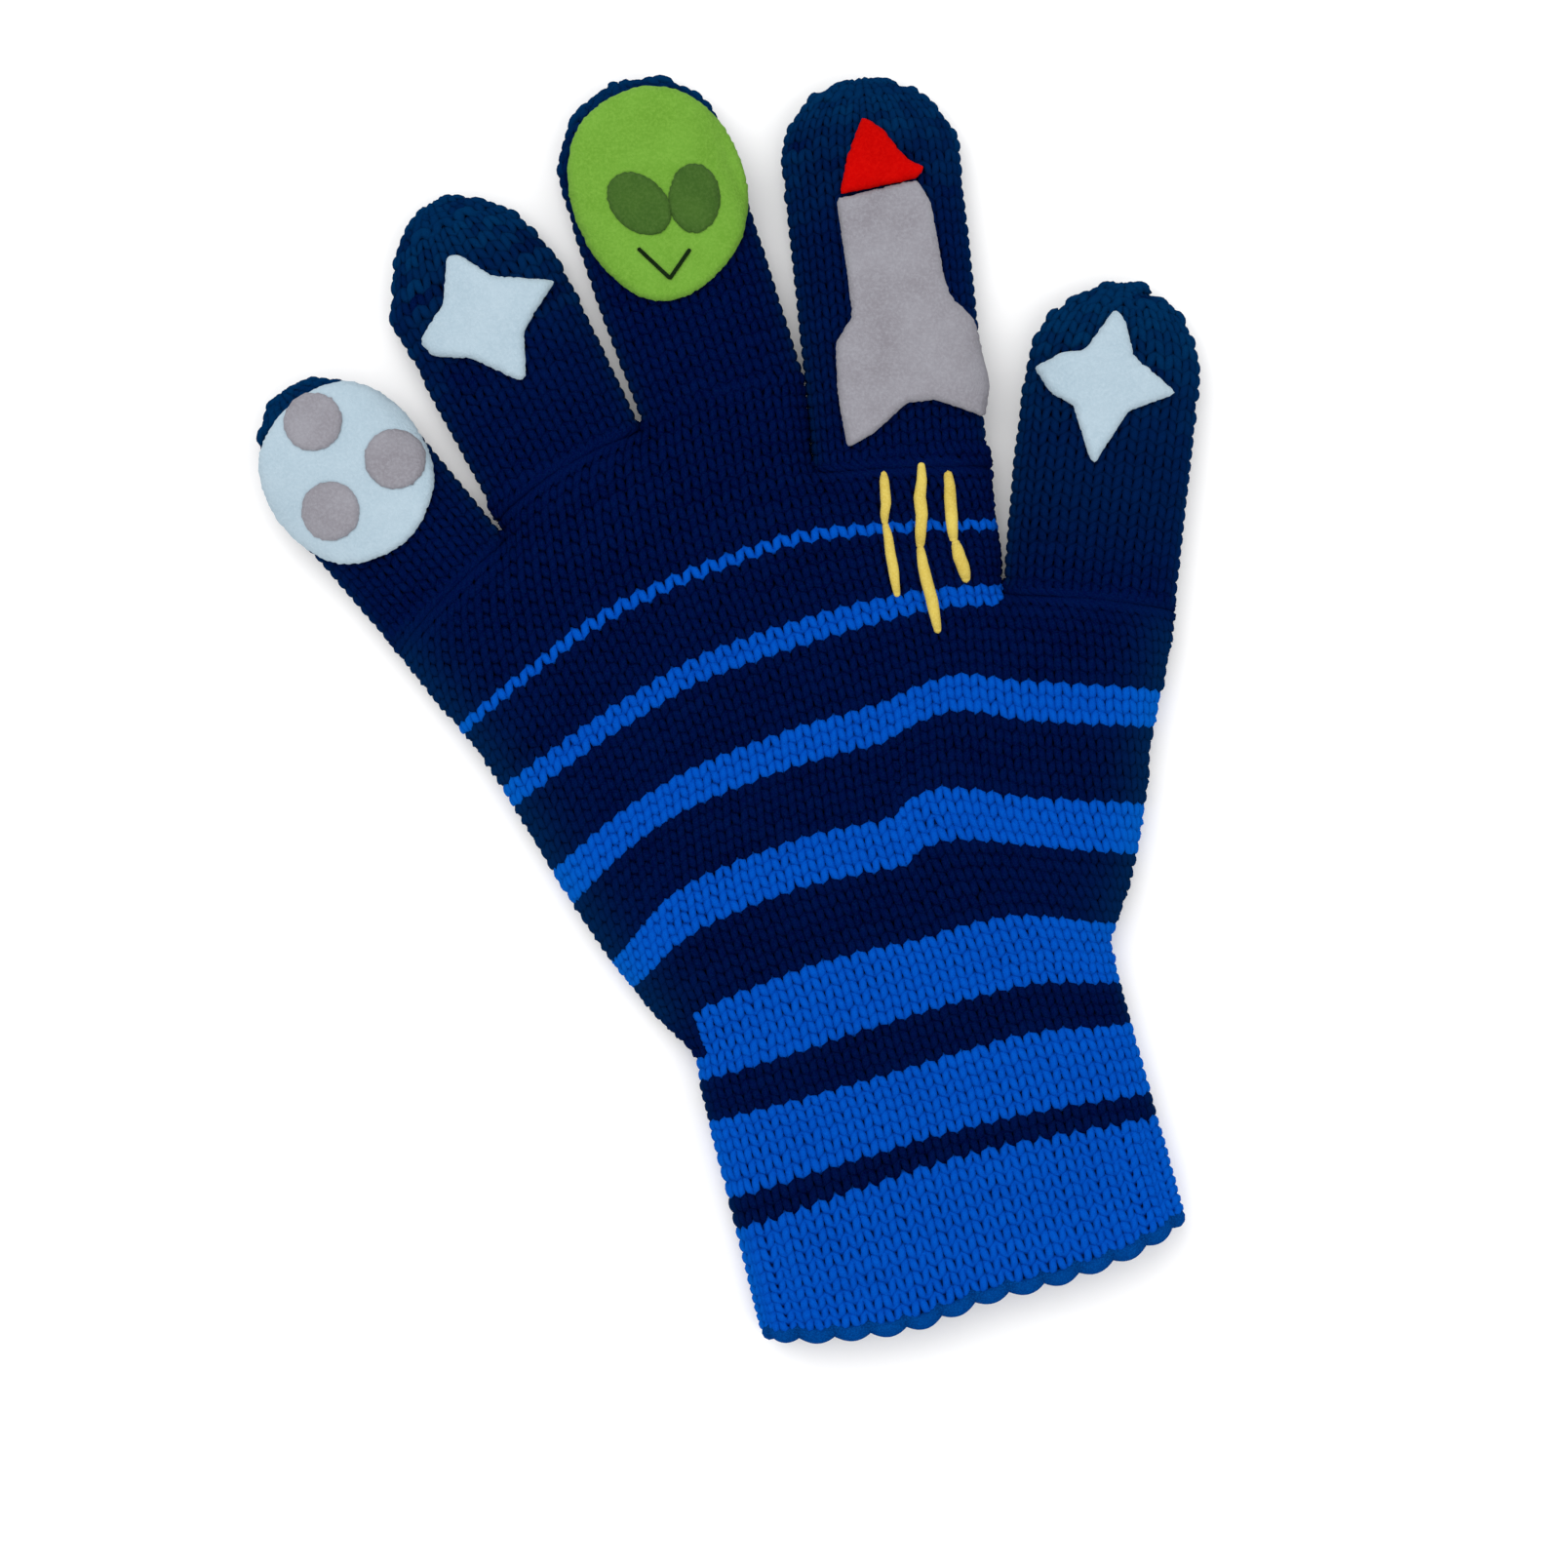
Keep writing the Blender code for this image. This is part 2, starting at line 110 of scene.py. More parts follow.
LOWER_LEFT_SIDE = [(-9.4, -38.7), (-15.4, -31.2), (-20.4, -23.7), (-29.4, -8.7), (-32.8, -3.7),
                   (-37.3, 1.3), (-41.2, 6.3)]
RIGHT_SIDE = [(50.3, -26.3), (51.9, -21.3), (52.9, -16.3), (54.0, -8.8), (54.3, -3.7),
              (55.9, 3.7), (57.0, 9.0)]
CROTCH_SIDE = [(34.1, 26.3), (35.0, 21.3), (35.4, 15.7)]

CUFF_LEFT_SIDE = [(27.6, 0.3), (28.3, 4.0), (28.6, 20.0), (29.2, 37.9)]      # across, along
CUFF_RIGHT_SIDE = [(-27.3, 0.3), (-27.7, 37.9)]
FIRST_COURSE = -14
BENT_COURSES = 31          # from this course on, the palm's knit is made as separate wrist pieces
CUFF_FIRST = 38            # the course at the wrist
RIB_FIRST = 52             # the course where the ribbing starts
LAST_COURSE = 61

# Guide courses: (number, points from left to right, where the middle wale crosses it).
GUIDES = [
    (-14.0, [(-46, 8), (-38, 19), (-29, 28), (-20, 34.5), (-10, 39), (0, 41.5), (10, 43),
             (22, 44.5), (35, 45)], (2.5, 42)),
    (0.0, [(-31.5, 0), (-23.5, 6.5), (-16, 12), (-7, 16.5), (2, 20), (10.5, 22.5),
           (22, 23.5), (33.5, 24), (46, 24), (58, 23)], (6.5, 21)),
    (7.5, [(-27, -10), (-19.5, -4.5), (-12, 0.5), (-4.5, 5), (3, 8), (10.5, 10.5),
           (19.5, 13), (27, 14.5), (35, 15), (46, 14.5), (58, 13)], (10, 10.5)),
    (16.0, [(-20, -21.5), (-13.5, -15.5), (-6, -10.5), (2, -7), (10.5, -4),
            (19.5, -1.5), (24.5, 1), (30, 2.5), (37, 1.5), (44.5, 1), (55, 0.5)],
     (13.5, -3)),
    (25.5, [(-12, -32.5), (-6, -26), (2, -22), (10.5, -19), (17.5, -17.5),
            (22, -16.5), (23.5, -14.5), (28.5, -13), (38, -14), (44.5, -14.5), (53, -15)],
     (16, -17.5)),
    (36.5, [(-2.5, -42.5), (4.5, -40), (13, -37), (22, -34.5), (32, -32), (39.5, -30.5),
            (48, -31)], (22, -34.5)),
    (41.5, [(-2, -50), (13, -45.5), (25.5, -41.5), (38, -38), (49.5, -37.5)], (24, -42)),
    (46.5, [(0, -56.5), (13, -53), (26.5, -49.5), (40, -46), (52, -44.5)],
     (26.5, -49.5)),
    (50.5, [(2.5, -64), (17, -59), (32, -54.5), (44.5, -52), (54.5, -50.5)],
     (28, -55.5)),
    (61.5, [(5, -79.5), (13.5, -79), (23.5, -77.5), (33, -74), (42.5, -71.5),
            (52, -68), (59, -64)], (33, -74)),
]
BLUE_BANDS = [(0, 0), (7, 8), (15, 17), (24, 27), (34, 39), (44, 49), (52, 62)]
THUMB_COURSES = 14         # courses before this one are plain to the right of the thumb's crotch
CROTCH_X = 35.3
WRIST_COURSES = 34         # from this one on, what lies past WRIST_EDGE, to the left, is plain
WRIST_EDGE = CUFF_LEFT_SIDE[0][0] - 1.2


# ---- small tools
def joint(child):
    return next(j for j in frame["joints"] if j["child"] == child)


def joint_frame(child):
    """Base point, across and along directions in plan, in millimetres, for a moving body."""
    found = joint(child)
    base = np.array(found["pos_m"][:2]) / MM
    across = np.array(found["axis"][:2]) / np.linalg.norm(found["axis"][:2])
    return base, across, np.array([-across[1], across[0]])


JOINTS = {child: joint_frame(child) for child in [*FINGERS, "cuff"]}


def to_plan(child, across_mm, along_mm):
    base, across, along = JOINTS[child]
    return base + np.multiply.outer(across_mm, across) + np.multiply.outer(along_mm, along)


def to_local(child, points):
    base, across, along = JOINTS[child]
    return (points - base) @ across, (points - base) @ along


def catmull_rom(a, b, c, d, t):
    """The smooth curve from b to c, where a and d are the points on either side."""
    return 0.5 * (2 * b + (c - a) * t + (2 * a - 5 * b + 4 * c - d) * t ** 2
                  + (3 * b - a - 3 * c + d) * t ** 3)


def smooth_curve(points, per=24, reach=60.0):
    """A smooth curve through the points, run on straight by reach at both ends."""
    points = np.array(points, float)
    first = points[0] + (points[0] - points[1]) / np.linalg.norm(points[0] - points[1]) * reach
    last = points[-1] + (points[-1] - points[-2]) / np.linalg.norm(points[-1] - points[-2]) * reach
    padded = np.vstack([2 * points[0] - points[1], points, 2 * points[-1] - points[-2]])
    t = np.linspace(0, 1, per, endpoint=False)[:, None]
    out = [first]
    for a, b, c, d in zip(padded, padded[1:], padded[2:], padded[3:]):
        out.extend(catmull_rom(a, b, c, d, t))
    out.extend([points[-1], last])
    return np.array(out)


def arc_lengths(path):
    return np.concatenate([[0], np.cumsum(np.linalg.norm(np.diff(path, axis=0), axis=1))])


def lookup(path, lengths, at):
    return np.stack([np.interp(at, lengths, path[:, k]) for k in range(path.shape[1])], axis=1)


def cubic_through(knots, values, at):
    """A natural cubic spline through values (first axis follows knots), read at the places at."""
    knots, at = np.array(knots, float), np.array(at, float)
    gaps = np.diff(knots)
    shape = values.shape
    flat = values.reshape(shape[0], -1)
    slopes = np.diff(flat, axis=0) / gaps[:, None]
    system = np.eye(shape[0])
    right = np.zeros_like(flat)
    for i in range(1, shape[0] - 1):
        system[i, i - 1:i + 2] = gaps[i - 1], 2 * (gaps[i - 1] + gaps[i]), gaps[i]
        right[i] = 6 * (slopes[i] - slopes[i - 1])
    curve = np.linalg.solve(system, right)
    i = np.clip(np.searchsorted(knots, at) - 1, 0, shape[0] - 2)
    g = gaps[i][:, None]
    before, after = (at - knots[i])[:, None], (knots[i + 1] - at)[:, None]
    out = (curve[i] * after ** 3 + curve[i + 1] * before ** 3) / (6 * g)
    out += (flat[i] / g - curve[i] * g / 6) * after + (flat[i + 1] / g - curve[i + 1] * g / 6) * before
    return out.reshape(len(at), *shape[1:])


def inside(points, polygon):
    """Whether each point is inside a polygon."""
    x, y = points[..., 0], points[..., 1]
    found = np.zeros(x.shape, bool)
    for (ax, ay), (bx, by) in zip(polygon, np.roll(polygon, -1, axis=0)):
        if ay == by:
            continue
        crossing = ax + (y - ay) / (by - ay) * (bx - ax)
        found ^= ((ay > y) != (by > y)) & (x < crossing)
    return found


def distance(points, segments):
    """Distance from each point to the nearest of the segments."""
    best = np.full(points.shape[:-1], np.inf)
    for start, end in segments:
        along = end - start
        share = np.clip(((points - start) @ along) / (along @ along), 0, 1)
        best = np.minimum(best, np.linalg.norm(points - start - share[..., None] * along, axis=-1))
    return best


def grid_at(grid, rows, cols):
    """Bilinear look-up in grid[row, column] at fractional rows and columns."""
    r = np.clip(np.floor(rows).astype(int), 0, grid.shape[0] - 2)
    c = np.clip(np.floor(cols).astype(int), 0, grid.shape[1] - 2)
    fr, fc = np.clip(rows - r, 0, 1), np.clip(cols - c, 0, 1)
    if grid.ndim == 3:
        fr, fc = fr[:, None], fc[:, None]
    return ((grid[r, c] * (1 - fc) + grid[r, c + 1] * fc) * (1 - fr)
            + (grid[r + 1, c] * (1 - fc) + grid[r + 1, c + 1] * fc) * fr)


def unit(vectors):
    return vectors / np.maximum(np.linalg.norm(vectors, axis=-1, keepdims=True), 1e-9)


def ripple(x, y):
    """Slow unevenness of the knit's height, from -1 to 1."""
    return (0.5 * np.sin(0.13 * x + 0.07 * y + 1.0) + 0.3 * np.sin(0.21 * x - 0.17 * y + 2.0)
            + 0.2 * np.sin(0.33 * y + 0.11 * x))


def crown(distance_in, reach):
    share = np.clip(distance_in / reach, 0, 1)
    return np.sqrt(1 - (1 - share) ** 2)
def plan_grid(low, high, step):
    """A square grid of plan points between two corners."""
    xs, ys = np.arange(low[0], high[0], step), np.arange(low[1], high[1], step)
    return np.stack(np.meshgrid(xs, ys, indexing="ij"), axis=-1)


def double_faces(polygons, higher, least=None):
    """Faces of two layers of points, the second numbered higher, with walls along their rim.

    least, where given, says for each point whether walls may stand there.
    """
    sides = polygons.shape[1]
    edges = np.concatenate([polygons[:, [k, (k + 1) % sides]] for k in range(sides)])
    keys = {(a, b) for a, b in edges.tolist()}
    rim = np.array([(a, b) for a, b in sorted(keys) if (b, a) not in keys])
    if least is not None:
        rim = rim[least[rim].all(axis=1)]
    walls = np.stack([rim[:, 1], rim[:, 0], rim[:, 0] + higher, rim[:, 1] + higher], -1)
    return [polygons, polygons[:, ::-1] + higher, walls]

# ---- the glove's outline
def finger_corners(child, along):
    finger = FINGERS[child]
    return [tuple(to_plan(child, finger["right"], along)),
            tuple(to_plan(child, -finger["left"], along))]


def hand_outline(finger_room):
    """The palm and cuff in plan, counterclockwise, as (x, y, is_open)."""
    room = CUFF_ROOM if finger_room else 0.0
    cuff_left = [to_plan("cuff", across, along) for across, along in CUFF_LEFT_SIDE]
    cuff_right = [to_plan("cuff", across, along) for across, along in CUFF_RIGHT_SIDE]
    cuff_left[-1] = to_plan("cuff", CUFF_LEFT_SIDE[-1][0], CUFF_LEFT_SIDE[-1][1] + room)
    cuff_right[-1] = to_plan("cuff", CUFF_RIGHT_SIDE[-1][0], CUFF_RIGHT_SIDE[-1][1] + room)
    outline = [(*cuff_left[-1], True)] + [(*place, False) for place in reversed(cuff_right)]
    outline += [(x, y, False) for x, y in RIGHT_SIDE]
    for child in ("thumb", "index", "middle", "ring", "little"):
        right, left = finger_corners(child, 0.0)
        if finger_room:
            far_right, far_left = finger_corners(child, finger_room)
            outline += [(*right, False), (*far_right, True), (*far_left, False), (*left, False)]
        else:
            outline += [(*right, True), (*left, False)]
        if child == "thumb":
            outline += [(x, y, False) for x, y in reversed(CROTCH_SIDE)]
    outline += [(x, y, False) for x, y in reversed(LOWER_LEFT_SIDE)]
    outline += [(*place, False) for place in cuff_left[:-1]]
    return outline


def polygon_of(outline):
    return np.array([(x, y) for x, y, _ in outline])


SOLID = hand_outline(FINGER_ROOM)
SOLID_POLYGON = polygon_of(SOLID)
REGION_POLYGON = polygon_of(hand_outline(0.0))
SILHOUETTE = [(SOLID_POLYGON[i], SOLID_POLYGON[(i + 1) % len(SOLID)])
              for i in range(len(SOLID)) if not SOLID[i][2]]
LONG_SIDES = [(np.array(a), np.array(b)) for side in (LOWER_LEFT_SIDE, RIGHT_SIDE)
              for a, b in zip(side, side[1:])]
CREASE_LINE = [np.array(p, float) for p in ((35.4, 15.7), (28.0, 2.0), (24.5, -15.0), (26.0, -30.0))]
CREASE_SEGMENTS = list(zip(CREASE_LINE, CREASE_LINE[1:]))


def depth_inside(points):
    """How far inside the glove's edge yarn plan points lie; negative outside it."""
    away = distance(points, SILHOUETTE)
    return np.where(inside(points, SOLID_POLYGON), away, -away) - EDGE


def palm_height(points, depth, upper):
    """Height of the yarn's centre over plan points, on the upper or the lower side."""
    if not upper:
        height = SIDE_Z - (SIDE_Z - BOTTOM_Z) * crown(depth, LOWER_ROUND)
        return np.where(depth < 0, SIDE_Z - CROSSING * depth, height)
    x, y = points[..., 0], points[..., 1]
    raised = 1 + UNEVEN * ripple(x, y)
    crease = distance(points, CREASE_SEGMENTS)
    fade = np.clip((y - CREASE_END) / CREASE_FADE, 0, 1)
    raised -= CREASE * np.exp(-(crease / CREASE_WIDTH) ** 2) * fade
    height = SIDE_Z + (TOP_Z - SIDE_Z) * crown(depth, UPPER_ROUND) * raised
    return np.where(depth < 0, SIDE_Z + CROSSING * depth, height)


# ---- course grids
ROW_START = FIRST_COURSE - 1
ROWS = np.arange(ROW_START, LAST_COURSE + 3, dtype=float)
PLAN_STEP = 0.3
PLAN_S = np.arange(-78, 78 + PLAN_STEP, PLAN_STEP)
REACH = 72.0               # length of a palm course to either side of the middle wale
COLS = np.arange(-REACH, REACH + PLAN_STEP, PLAN_STEP)


def guide_rows():
    """Plan positions of every course, measured along it from the middle wale."""
    tracks = []
    for _, points, crossing in GUIDES:
        path = smooth_curve(points)
        lengths = arc_lengths(path)
        fine = np.linspace(0, lengths[-1], 6000)
        at = lookup(path, lengths, fine)
        middle = fine[np.argmin(np.linalg.norm(at - np.array(crossing), axis=1))]
        tracks.append(lookup(path, lengths, middle + PLAN_S))
    return cubic_through([number for number, _, _ in GUIDES], np.array(tracks), ROWS)


PLAN_ROWS = guide_rows()


def palm_grid(upper):
    """Course positions in space at even distances from the middle wale, and depth inside."""
    spots, depths = [], []
    middle = len(PLAN_S) // 2
    for plan in PLAN_ROWS:
        depth = depth_inside(plan)
        path = np.column_stack([plan, palm_height(plan, depth, upper)])
        lengths = arc_lengths(path)
        lengths -= lengths[middle]
        spots.append(lookup(path, lengths, COLS))
        depths.append(np.interp(COLS, lengths, depth))
    return np.array(spots), np.array(depths)


def surface_normals(grid, upper):
    normals = unit(np.cross(np.gradient(grid, axis=1), np.gradient(grid, axis=0)))
    facing = normals[..., 2:] if upper else -normals[..., 2:]
    return normals * np.sign(facing + 1e-9)


# ---- yarn
class Yarn:
    """Collects runs of yarn, and makes them one mesh of closed tubes."""

    def __init__(self, sides=SIDES):
        self.sides = sides
        self.points, self.faces, self.tones, self.highlight_and_tint = [], [], [], []
        self.count = 0

    def add(self, path, normals, radii, tones, highlight_and_tint=None, closed=False, flat=0.90):
        """A tube along path, with two colour values from 0 to 1: painted stitch shade and highlight
        with random drift, and a paler teal painted as highlight where the knit turns over and as a tint
        towards the fingertips.
        """
        count = len(path)
        highlight_and_tint = np.zeros(count) if highlight_and_tint is None else highlight_and_tint
        if closed:
            tangent = unit(np.roll(path, -1, axis=0) - np.roll(path, 1, axis=0))
        else:
            tangent = unit(np.gradient(path, axis=0))
        across = unit(np.cross(tangent, normals))
        up = np.cross(across, tangent)
        angles = np.arange(self.sides) * 2 * math.pi / self.sides + math.pi / 2
        ring = (np.cos(angles)[None, :, None] * across[:, None]
                + flat * np.sin(angles)[None, :, None] * up[:, None])
        points = path[:, None] + radii[:, None, None] * ring
        start = self.count
        index = start + np.arange(count * self.sides).reshape(count, self.sides)
        following = np.roll(index, -1, axis=0) if closed else index[1:]
        present = index if closed else index[:-1]
        quads = np.stack([present, np.roll(present, -1, axis=1), np.roll(following, -1, axis=1),
                          following], axis=-1)
        self.points.append(points.reshape(-1, 3))
        self.tones.append(np.repeat(tones, self.sides))
        self.highlight_and_tint.append(np.repeat(highlight_and_tint, self.sides))
        self.faces.append(quads.reshape(-1, 4))
        self.count += count * self.sides
        if not closed:
            for row, order, place in ((index[0], -1, path[0] - tangent[0] * radii[0] * CAP),
                                      (index[-1], 1, path[-1] + tangent[-1] * radii[-1] * CAP)):
                self.points.append(place[None])
                self.tones.append(tones[:1])
                self.highlight_and_tint.append(highlight_and_tint[:1] if order < 0 else highlight_and_tint[-1:])
                ends = np.stack([row, np.roll(row, -1)], axis=-1)[:, ::order]
                self.faces.append(np.column_stack([ends, np.full(self.sides, self.count)]))
                self.count += 1

    def build(self, name, material):
        mesh = mesh_from(name, np.vstack(self.points), self.faces)
        # The first value carries painted stitch shade and highlight with random drift; the second, a
        # paler teal painted as highlight at the knit's sides and as a tint towards the fingertips.
        set_values(mesh, "tone", np.concatenate(self.tones))
        set_values(mesh, "fade", np.concatenate(self.highlight_and_tint))
        return add_piece(name, mesh, material)


def set_values(mesh, name, values):
    """One number for each point of a mesh, for its material to read."""
    mesh.attributes.new(name, "FLOAT", "POINT").data.foreach_set("value", values.astype(np.float32))


def mesh_from(name, points, face_groups):
    """A smooth mesh from points in millimetres and arrays of equal-sided faces."""
    mesh = bpy.data.meshes.new(name)
    corners = np.concatenate([group.reshape(-1) for group in face_groups]).astype(np.int32)
    sizes = np.concatenate([np.full(len(group), group.shape[1]) for group in face_groups])
    starts = np.concatenate([[0], np.cumsum(sizes)[:-1]]).astype(np.int32)
    mesh.vertices.add(len(points))
    mesh.vertices.foreach_set("co", (points * MM).astype(np.float32).reshape(-1))
    mesh.loops.add(len(corners))
    mesh.loops.foreach_set("vertex_index", corners)
    mesh.polygons.add(len(starts))
    mesh.polygons.foreach_set("loop_start", starts)
    mesh.polygons.foreach_set("use_smooth", np.ones(len(starts), bool))
    mesh.update(calc_edges=True)
    return mesh


def add_object(name, data):
    made = bpy.data.objects.new(name, data)
    bpy.context.scene.collection.objects.link(made)
    return made


def add_piece(name, mesh, material):
    piece = add_object(name, mesh)
    mesh.materials.append(MATERIALS[material])
    return piece


def wobble(count, per, size):
    """Smooth random change along a yarn, with a new value about every per points."""
    knots = RANDOM.normal(0, size, count // per + 3)
    return np.interp(np.arange(count) / per, np.arange(len(knots)), knots)


def stitch_tones(turn, drift):
    """Painted shade and highlight: yarn is painted darker in the heads of the stitches, which lie back,
    and paler on their raised legs, where light catches them; drift adds random tone.
    """
    return np.clip(0.45 - 0.40 * np.cos(2 * turn) + drift, 0, 1)


def on_grid(grid, normals, rows, cols):
    """Places and outward directions at fractional rows and columns."""
    return grid_at(grid, rows, cols), unit(grid_at(normals, rows, cols))


def stitch_path(grid, normals, row, width):
    """Yarn path along one palm course, swinging towards the fingertips at each whole stitch."""
    end = REACH - 2
    count = int(round(2 * end / width * SAMPLES))
    along = np.linspace(-end, end, count)
    t = along / width * 2 * math.pi
    along = along + LEAN * width * np.sin(2 * t) + wobble(count, SAMPLES, PALM_DRIFT * width)
    rows = row - SWING * np.cos(t) + wobble(count, SAMPLES // 2, PALM_DRIFT)
    rows = rows - ROW_START
    cols = len(COLS) // 2 + along / PLAN_STEP
    spots, outs = on_grid(grid, normals, rows, cols)
    tones = stitch_tones(t, wobble(count, SAMPLES * 2, TONE_DRIFT))
    return spots, outs, -DEPTH * np.cos(2 * t), rows, cols, tones

def runs_of(mask, least):
    """Start and end of each stretch of True values that is long enough."""
    edges = np.flatnonzero(np.diff(np.concatenate([[0], mask.astype(np.int8), [0]])))
    return [(a, b) for a, b in zip(edges[::2], edges[1::2]) if b - a >= least]


def is_blue(course):
    return np.any([(course >= first) & (course <= last) for first, last in BLUE_BANDS], axis=0)


def is_blue_at(course, plan):
    """Whether palm stitches of a course are blue at these plan points."""
    blue = is_blue(course) & ((course >= THUMB_COURSES) | (plan[:, 0] < CROTCH_X))
    return blue & ((course < WRIST_COURSES) | (to_local("cuff", plan)[0] < WRIST_EDGE))


def stitch_width(course):
    return float(np.interp(course, [-14, 0, 7.5, 16, 25.5, 36.5, 62],
                           [2.40, 2.45, 2.28, 2.15, 2.20, 2.28, 2.28]))


def on_finger_ground(child, points):
    """Whether plan points lie on a finger's ground, and how far past its joint line they are."""
    finger = FINGERS[child]
    across, along = to_local(child, points)
    within = (across > -finger["left"] - FINGER_MARGIN) & (across < finger["right"] + FINGER_MARGIN)
    return within & (along < FINGER_GROUND), along


def in_a_finger(points, start):
    """Whether plan points lie on any finger's ground, more than start past its joint line."""
    found = np.zeros(points.shape[:-1], bool)
    for child in FINGERS:
        here, along = on_finger_ground(child, points)
        found |= here & (along > start)
    return found


def sunk_at_fingers(points):
    """How far the palm's last stitches dip under each finger's first ones."""
    found = np.zeros(len(points))
    for child in FINGERS:
        here, along = on_finger_ground(child, points)
        share = np.clip((along - DIP_START) / (JOIN - DIP_START), 0, 1)
        found = np.maximum(found, here * share * DIP)
    return found


def edge_highlight(points):
    """Painted highlight: the yarn is painted paler and greener towards the hand's two long sides, where
    the knit turns over and catches the light.
    """
    return 0.62 * np.exp(-(distance(points, LONG_SIDES) / 3.0) ** 1.2)


def knit_palm(grid, normals, depths, courses):
    """Some of the palm's courses on one side, as yarn by colour."""
    yarns = {"navy": Yarn(), "blue": Yarn()}
    for course in courses:
        path, outs, lift, rows, cols, tones = stitch_path(grid, normals, course, stitch_width(course))
        plan = path[:, :2]
        mask = (grid_at(depths, rows, cols) > -0.30) & ~in_a_finger(plan, JOIN)
        blue = is_blue_at(course, plan)
        # Painted highlight: paler teal along the hand's long sides.
        highlight_and_tint = edge_highlight(plan)
        path = path + outs * (lift - sunk_at_fingers(plan))[:, None]
        for color, chosen in (("blue", mask & blue), ("navy", mask & ~blue)):
            for a, b in runs_of(chosen, LEAST_RUN):
                radii = YARN * (1 + wobble(b - a, SAMPLES, RADIUS_DRIFT))
                yarns[color].add(path[a:b], outs[a:b], radii, tones[a:b], highlight_and_tint[a:b])
    return yarns


# ---- closed tubes: cuff and fingers
LOOP = 480                 # points round a closed course
SECTION = 120              # points round a stall's section before they are spaced evenly
TIP_LUMPS = 0.30           # how uneven the stitches of a fingertip are
TIP_START, TIP_REACH = 12, 22      # from how far before a tip, and over what length, this sets in
TIP_TINT = 0.75            # how much paler teal the yarn is tinted there
TIP_ROUND = 0.42           # how squarely a stall's height ends at its tip
PINCH = 0.45               # how much a stall narrows at its root, on each side next to another
PINCH_REACH = 16.0         # over this length
BUMP_AT, BUMP_LENGTH, BUMP = 26.5, 2.2, 1.1    # a bulge of loose stitches beside the ring star
HALVED, QUARTERED, CLOSED = 0.72, 0.30, 0.16   # shares of its width where a tip loses stitches
RIB, RIB_SINK = 0.24, 0.20         # how far the ribbing's wales stand in front of and behind its middle
# How much paler teal each finger's yarn is tinted, reached 12 mm along it.
FINGER_TINT = {"little": 0.05, "ring": 0.05, "middle": 0.0, "index": 0.1, "thumb": 0.25}


def closed_grid(loops):
    """Rows of evenly spaced points round each closed loop, with the start repeated at the end."""
    rows, lengths_round = [], []
    for loop in loops:
        path = np.vstack([loop, loop[:1]])
        lengths = arc_lengths(path)
        rows.append(lookup(path, lengths, np.linspace(0, lengths[-1], LOOP + 1)))
        lengths_round.append(lengths[-1])
    return np.array(rows), np.array(lengths_round)


def tube_normals(grid):
    outward = grid - grid[:, :LOOP].mean(axis=1, keepdims=True)
    across = np.roll(grid[:, :LOOP], -1, axis=1) - np.roll(grid[:, :LOOP], 1, axis=1)
    across = np.concatenate([across, across[:, :1]], axis=1)
    normals = unit(np.cross(across, np.gradient(grid, axis=0)))
    flip = np.sign(np.sum(normals * outward, axis=-1).mean(axis=1))[:, None, None]
    return normals * np.where(flip == 0, 1, flip)


def closed_course(yarn, grid, normals, row, stitches, radius, ribbed=False, swing=SWING,
                  fade=0.0, sink=0.0, lumps=0.0):
    """One closed course of stitches round a tube; fade is how much paler teal it is tinted, and lumps
    makes it bumpy and uneven in colour.
    """
    """One closed course of stitches round a tube; lumps makes it bumpy and uneven in colour."""
    count = stitches * SAMPLES
    share = np.arange(count) / count
    t = share * stitches * 2 * math.pi
    calm = np.clip(np.minimum(np.arange(count), np.arange(count)[::-1]) / SAMPLES, 0, 1)
    face = np.ones(count)
    lift = np.full(count, -sink)
    if ribbed:
        face = 0.8 + 0.5 * np.cos(t / 2)
        lift = RIB * np.cos(t / 2) - RIB_SINK
    pace = LOOP / stitches
    cols = (share * LOOP + LEAN * pace * np.sin(2 * t)
            + calm * wobble(count, SAMPLES, TUBE_DRIFT * pace))
    rows = row - swing * np.cos(t) + calm * wobble(count, SAMPLES // 2, TUBE_DRIFT)
    spots, outs = on_grid(grid, normals, rows, np.mod(cols, LOOP))
    uneven = lumps * calm * wobble(count, SAMPLES, 1.0)
    lift = lift - DEPTH * min(1.0, radius / YARN) * face * np.cos(2 * t)
    lift = lift + uneven * (1 - 0.85 * np.abs(outs[:, 2]))
    radii = radius * (1 + calm * wobble(count, SAMPLES, RADIUS_DRIFT) + 0.3 * uneven)
    tones = stitch_tones(t, calm * wobble(count, SAMPLES * 2, TONE_DRIFT) + uneven)
    # Paler teal: the given tint and random tone from the lumps, plus painted highlight where the tube
    # turns over to its sides.
    highlight_and_tint = np.clip(fade + uneven + 0.55 * (1 - np.abs(outs[:, 2])) ** 2, 0, 1)
    yarn.add(spots + outs * lift[:, None], outs, radii, tones, highlight_and_tint, closed=True)


def stall(child):
    """Half width, straight length, rounded length and offset of a finger's knit."""
    finger = FINGERS[child]
    return ((finger["left"] + finger["right"]) / 2 - EDGE, finger["length"] - finger["tip"],
            finger["tip"] - EDGE, (finger["right"] - finger["left"]) / 2)


